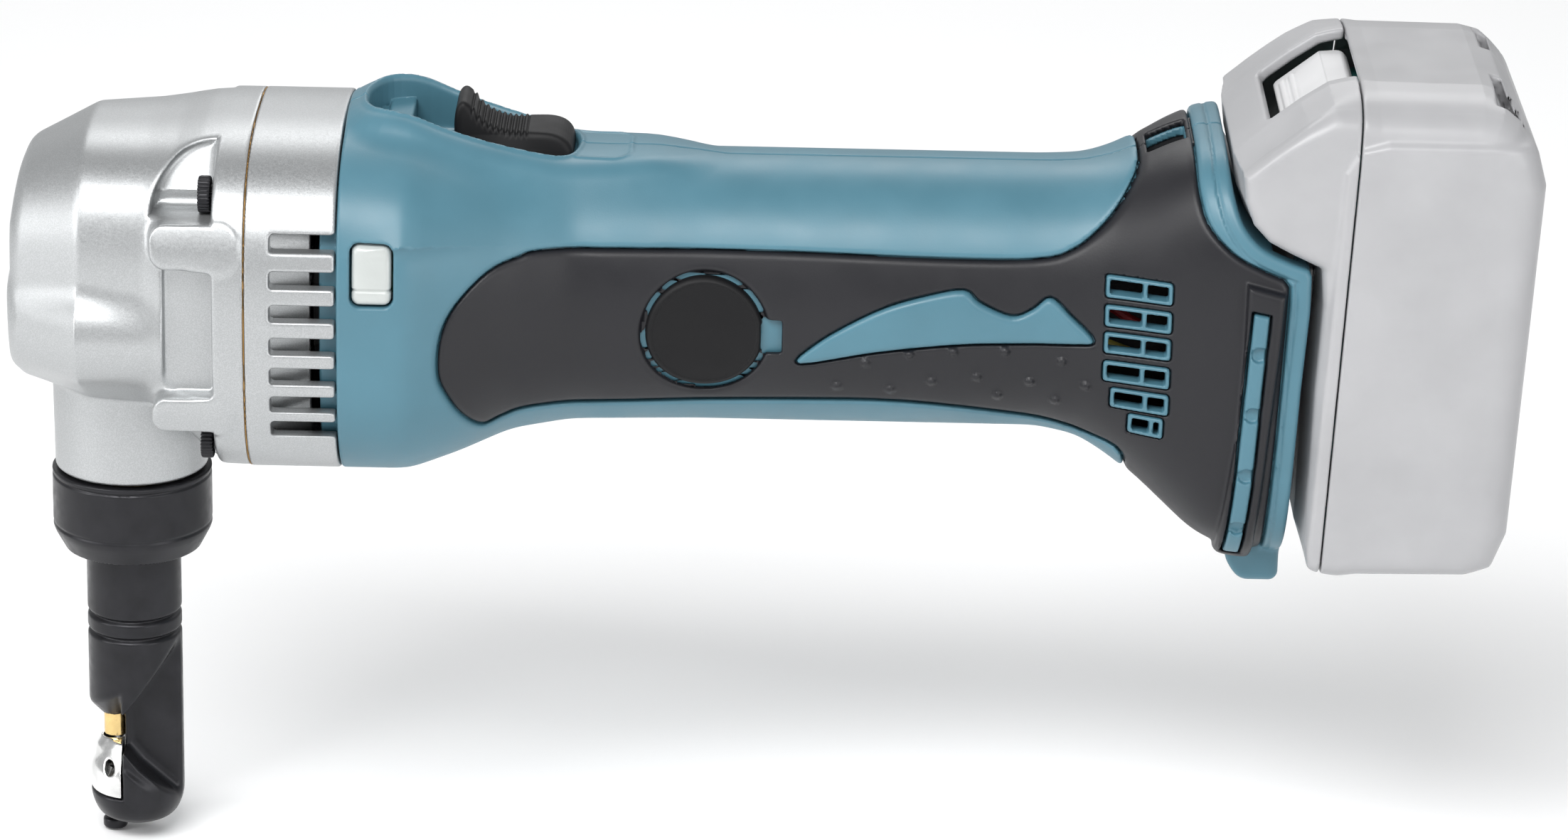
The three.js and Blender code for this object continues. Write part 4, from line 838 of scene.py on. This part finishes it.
def die(p):
    x, _, z = p
    radius = off_axis(p)
    shape = smax(radius - 9.9, between(z, 10.3, 21.5), 0.3)
    shape = smax(shape, (radius - 6.3) * 0.86 + (z - 21.5) * 0.5, 0.6)
    shape = smax(shape, x + 136.8, 0.3)
    tip = off_axis(p, PUNCH_X)
    nose = smax(smax(tip - 4.4, (tip - 3.1) * 0.86 + (z - 21.6) * 0.5, 0.4), between(z, 12, 21.6), 0.3)
    shape = smin(shape, smax(nose, x + 136.8), 0.6)
    shape = carve(shape, smax(tip - 2.65, 13.5 - z), 0.3)
    hole = np.hypot(x + 139.4, (z - 16.4) / 1.45) - 1.05
    shape = carve(shape, hole * 0.9, 0.5)
    return carve(shape, smax(off_axis(p, BOLT_X) - 1.7, z - 14.5))


def die_bolt(p):
    x, y, z = p
    radius = off_axis(p, BOLT_X)
    shape = smax(radius - 2.6, between(z, 0.02, 2.3), 0.7)
    shape = smin(shape, smax(radius - 1.5, between(z, 0.5, 13), 0.4))
    return carve(shape, smax(hexagon(y, x - BOLT_X) - 1.2, z - 1.4), 0.2)


def punch(p):
    z = p[2]
    radius = off_axis(p)
    shank = smax(radius - 4.2, between(z, 44, 98), 0.6)
    neck = smax(radius - 1.2, between(z, 97, 104))
    head = smax(radius - 2, between(z, 103.4, 106), 0.4)
    tip = smax(off_axis(p, PUNCH_X) - 2.5, between(z, 21.9, 60), 0.25)
    return smin(np.minimum(shank, np.minimum(neck, head)), tip, 0.5)


# ---------------------------------------------------------------- battery
PACK_WALL = 2.4
PACK = [(109.9, 84.4), (110.4, 117), (111.2, 136), (110.6, 143.2), (104.8, 145.9), (100.1, 148.4),
        (96.5, 152.3), (94.5, 157.4), (93.7, 163.9), (99, 168.4), (107, 174.7), (112.6, 178.4), (118.6, 180),
        (143.7, 179.6), (148.4, 178), (151.6, 174.6), (154.6, 168.6), (156.4, 162), (152.85, 87), (150, 79.4),
        (144.6, 76.6), (117.4, 75.8), (111.6, 79.2)]
PANEL = [(124, 171), (118.5, 169.6), (115.8, 165), (113.4, 120), (111.4, 80), (119, 60), (170, 60),
         (170, 171)]
PACK_PLAN = Plan(PACK, (86, 68), (162, 186))
PANEL_PLAN = Plan(PANEL, (86, 68), (162, 186))
BEHIND_PLAN = Plan([(60, 60), (60, 190), (92, 190), *REAR, *REAR_FACE], (86, 68), (118, 186))
BUTTON_ANGLE = math.radians(38)
BUTTON_FOOT = (112.2, 173.4)


def button_frame(p):
    """Coordinates along the button's slope, across it and off it."""
    x, y, z = p
    c, s = math.cos(BUTTON_ANGLE), math.sin(BUTTON_ANGLE)
    dx, dz = x - BUTTON_FOOT[0], z - BUTTON_FOOT[1]
    return dx * c + dz * s, y, dz * c - dx * s


def pack_envelope(p):
    """Outside of the pack, before it is split into its two cases."""
    x, y, z = p
    side = PACK_PLAN(x, z)
    end = rect(y, z, (0, 118), (38, 65), 14)
    foot = rect(y, z, (0, 167.8), (38, 92.0), 5)
    rounding = 3 + 4 * np.clip((x - 113) / 9, 0, 1)
    shape = smax(smax(side, np.maximum(end, foot), rounding), 75.8 - z, 3)
    panel = PANEL_PLAN(x, z)
    step = 1.2 / (1 + np.exp(-(panel - 0.2) * 3.4))
    return shape + step * np.clip((np.abs(y) - 20) / 12, 0, 1)


def battery_window(p):
    """The opening that the release button slides in."""
    along, across, off = button_frame(p)
    return smax(rect(along, across, (0.7, 0), (12, 16.6), 1.8), -8 - off)


def battery_tongue(p):
    """The block that slides into the tongue slot."""
    x, y, z = p
    ahead = rear_x(z) - x
    neck = np.maximum(between(ahead, -4, 7.2), np.maximum(np.abs(y) - 25.6, 91.4 - z))
    rails = np.maximum(between(ahead, 3.6, 7.2), np.maximum(np.abs(y) - 29.1, 91.4 - z))
    tongue = np.maximum(np.minimum(neck, rails), BEHIND_PLAN(x, z) - 1)
    legs = np.maximum(np.abs(y) - 18, z - 96)
    return np.maximum(carve(tongue, legs), z - 141)


def parting(p):
    """Distance behind the joint between the two cases."""
    x, _, z = p
    return x - (116 + LEAN * (z - LEAN_Z))


def upper_case(p):
    out = pack_envelope(p)
    shape = carve(out, out + PACK_WALL)
    shape = smax(shape, parting(p) + 0.15, 0.6)
    shape = np.minimum(shape, smax(battery_tongue(p), parting(p) + 0.15))
    return carve(shape, battery_window(p), 0.9)


def lower_case(p):
    x, y, z = p
    shape = pack_envelope(p)
    for i in range(4):
        t = i / 3
        groove = disc(x, z, (147.2 + 3.2 * t, 177.4 - 5.4 * t), 1.1)
        shape = carve(shape, smax(groove, np.abs(np.abs(y) - 19) - 9, 0.8), 0.8)
    shape = carve(shape, shape + PACK_WALL)
    along, across, off = button_frame(p)
    room = smax(rect(along, across, (6, 0), (4.8, 16.2), 0.5), -6 - off)
    shape = carve(shape, np.maximum(room, off - 0.3 + 0.65 * (along - 7.4)))
    notch = block(p, (114, -8, 70), (119.5, 8, 77.4), 0.6)
    return smax(carve(shape, notch, 0.6), 0.15 - parting(p), 0.6)


def battery_button(p):
    along, across, off = button_frame(p)
    off = off + 0.65 * np.maximum(along - 2, 0)
    plate = smax(rect(along, across, (-2, 0), (8, 15.6), 1.6), between(off, -1.6, 0.8), 0.8)
    ribs = [smax(rect(along, across, (place, 0), (0.8, 12), 0.8), between(off, 0, 1.3), 0.7)
            for place in (-7.6, -5.2)]
    return smin(plate, np.minimum.reduce(ribs), 0.5)


# ---------------------------------------------------------------- pieces
FULL = 0.55
FINE = 0.28


def outer_part(depth):
    """Keeps what lies within depth of the handle's outside, and the switch's pocket."""

    def keep(p):
        pocket = np.maximum(POCKET_PLAN(p[0], p[1]) - 2, 151 - p[2])
        return np.minimum(-(envelope(p) + depth), pocket)

    return keep


def piece(name, field, low, high, step, slot, body, node, keep=None):
    """Meshes a field, hangs it on its body and has it stand for its CAD node, if it has one."""
    made = surface(name, field, low, high, step, MATERIALS[slot], keep)
    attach(made, body)
    if node:
        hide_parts(node)


def sided(field, side):
    return lambda p: field(p, side)


def y_range(side, near, far):
    return (near, far) if side > 0 else (-far, -near)


def build_handle():
    for name, side in SIDES:
        near, far = y_range(side, 0, 41)
        piece(f"shell_{name}", sided(housing, side), (-92, near, 69), (111, far, 168), FULL,
              "housing_plastic", "tool_body", f"housing_{name}", outer_part(3.7))
        piece(f"rubber_{name}", sided(grip, side), (-69, near, 74), (107, far, 166), FULL,
              "soft_grip", "tool_body", f"grip_{name}", outer_part(SKIN))
        near, far = y_range(side, 19, 27)
        piece(f"cap_{name}", brush_cover, (-26, near, 111), (-1, far, 136.5), 0.3,
              "switch_plastic", "tool_body", f"brush_cover_{name}")
        near, far = y_range(side, 32, 41)
        piece(f"lens_{name}", lamp_lens, (-85, near, 133), (-76.4, far, 146), 0.25,
              "lens_plastic", "tool_body", f"lamp_lens_{name}")
    # Dark plate and well behind the louvres and the strap hole: painted shade in place of the shaded inside of
    # the housing.
    piece("shade_backing", shade_backing, (59.5, -9.5, 100.5), (90.5, 9.5, 163.5), 0.5,
          "inner_plastic", "tool_body", None)
    piece("slider", knob, (-66.5, -9.5, 154.4), (-41, 9.5, 167.2), 0.2,
          "switch_plastic", "switch", "switch_knob")


def build_head():
    piece("gearbox", gear_housing, (-157, -41, 83.5), (-106, 41, 164), 0.45,
          "cast_aluminium", "tool_body", "gear_housing")
    piece("gearbox_cover", housing_cover, (-107, -41, 89), (-87.8, 41, 164), 0.45,
          "cast_aluminium", "tool_body", "gear_housing_cover")
    piece("seam_gasket", gasket, (-106.9, -40.5, 89), (-106.3, 40.5, 163.5), 0.4,
          "sintered_bronze", "tool_body", None)
    for i, (cy, cz) in enumerate(HEAD_SCREWS, 1):
        low, high = (-118, cy - 4.5, cz - 4.5), (-93, cy + 4.5, cz + 4.5)
        piece(f"cap_screw_{i}", head_screw(cy, cz), low, high, 0.25,
              "black_oxide_steel", "tool_body", f"head_screw_{i}")


def build_nose():
    piece("collar_nut", lock_nut, (-152, -17.5, 65.5), (-116.5, 17.5, 84.5), FINE, "black_oxide_steel",
          "lock_nut", "lock_nut")
    piece("holder", die_holder, (-147, -12.8, 2.2), (-121.5, 12.8, 78.5), FINE, "black_oxide_steel",
          "die_holder", "die_holder")
    piece("die_insert", die, (-145, -10.2, 10), (-136.4, 10.2, 22), 0.16, "tool_steel", "die_holder", "die")
    piece("die_screw", die_bolt, (-142, -3, 0), (-136.4, 3, 13.2), 0.16, "black_oxide_steel",
          "die_holder", "die_bolt")
    piece("punch_pin", punch, (-141.5, -4.5, 21.6), (-129.7, 4.5, 106.3), 0.25, "coated_punch",
          "punch", "punch")


def build_battery():
    piece("pack_front", upper_case, (93, -38.3, 75.5), (120, 38.3, 180.3), FULL, "pack_plastic", "battery",
          "battery_upper_case")
    piece("pack_back", lower_case, (112.5, -38.3, 75.5), (156.8, 38.3, 180.3), FULL, "pack_plastic", "battery",
          "battery_lower_case")
    piece("release", battery_button, (101, -16, 163), (122, 16, 182), 0.3, "release_plastic",
          "battery_button", "battery_button")


def finish_inner_nodes():
    """Nodes that keep their CAD mesh take the procedural material of their slot."""
    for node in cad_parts.values():
        for socket in node.material_slots:
            slot = socket.material.name.split(".")[0] if socket.material else None
            if slot in MATERIALS:
                socket.material = MATERIALS[slot]


# ---------------------------------------------------------------- stage
def look_at(thing, target, roll=0.0):
    aim = (Vector(target) - thing.location).to_track_quat("-Z", "Y").to_matrix()
    thing.rotation_euler = (aim @ Matrix.Rotation(roll, 3, "Z")).to_euler()


def softbox(name, place, target, width, height, power):
    light = bpy.data.lights.new(name, "AREA")
    light.shape = "RECTANGLE"
    light.size, light.size_y = width, height
    light.energy = power
    lamp = bpy.data.objects.new(name, light)
    lamp.location = place
    bpy.context.scene.collection.objects.link(lamp)
    look_at(lamp, target)


def build_stage():
    mesh = bpy.data.meshes.new("floor")
    half, level = 6.0, -0.0004
    corners = [(-half, -half, level), (half, -half, level), (half, half, level), (-half, half, level)]
    mesh.from_pydata(corners, [], [(0, 1, 2, 3)])
    floor = bpy.data.objects.new("floor", mesh)
    paper = Finish("paper", (0.93, 0.93, 0.93), 0.7)
    paper.bump(paper.noise(3, 3), 0.05)
    mesh.materials.append(paper.material)
    bpy.context.scene.collection.objects.link(floor)
    world = bpy.data.worlds.new("studio")
    world.use_nodes = True
    tree = world.node_tree
    place = tree.nodes.new("ShaderNodeTexCoord")
    split = tree.nodes.new("ShaderNodeSeparateXYZ")
    fade = tree.nodes.new("ShaderNodeMapRange")
    fade.inputs["To Min"].default_value = 0.62
    fade.inputs["To Max"].default_value = 0.3
    tree.links.new(place.outputs["Generated"], split.inputs["Vector"])
    tree.links.new(split.outputs["Z"], fade.inputs["Value"])
    tree.links.new(fade.outputs["Result"], tree.nodes["Background"].inputs["Strength"])
    tree.nodes["Background"].inputs["Color"].default_value = (0.95, 0.96, 0.97, 1)
    bpy.context.scene.world = world
    bpy.context.scene.view_settings.view_transform = "Standard"
    centre = (0, 0, 0.12)
    softbox("key", (-0.3, -0.75, 1.05), centre, 1.0, 0.45, 15)
    softbox("fill", (0.9, -1.0, 0.45), centre, 0.7, 0.8, 5)
    softbox("rim", (0.1, 0.9, 0.9), centre, 1.2, 0.4, 5)
    softbox("nose", (-1.0, -0.4, 0.45), (-0.1, 0, 0.13), 0.35, 0.6, 4)


def build_camera():
    camera = bpy.data.cameras.new("camera")
    camera.sensor_width = 36
    camera.lens = 138.25
    camera.clip_start, camera.clip_end = 0.05, 20
    held = bpy.data.objects.new("camera", camera)
    elevation = math.radians(20)
    distance = 1.269
    target = Vector((0.0034, 0, 0.09635))
    held.location = target + distance * Vector((0, -math.cos(elevation), math.sin(elevation)))
    look_at(held, target, math.radians(1.2))
    bpy.context.scene.collection.objects.link(held)
    bpy.context.scene.camera = held


build_handle()
build_head()
build_nose()
build_battery()
finish_inner_nodes()
build_stage()
build_camera()
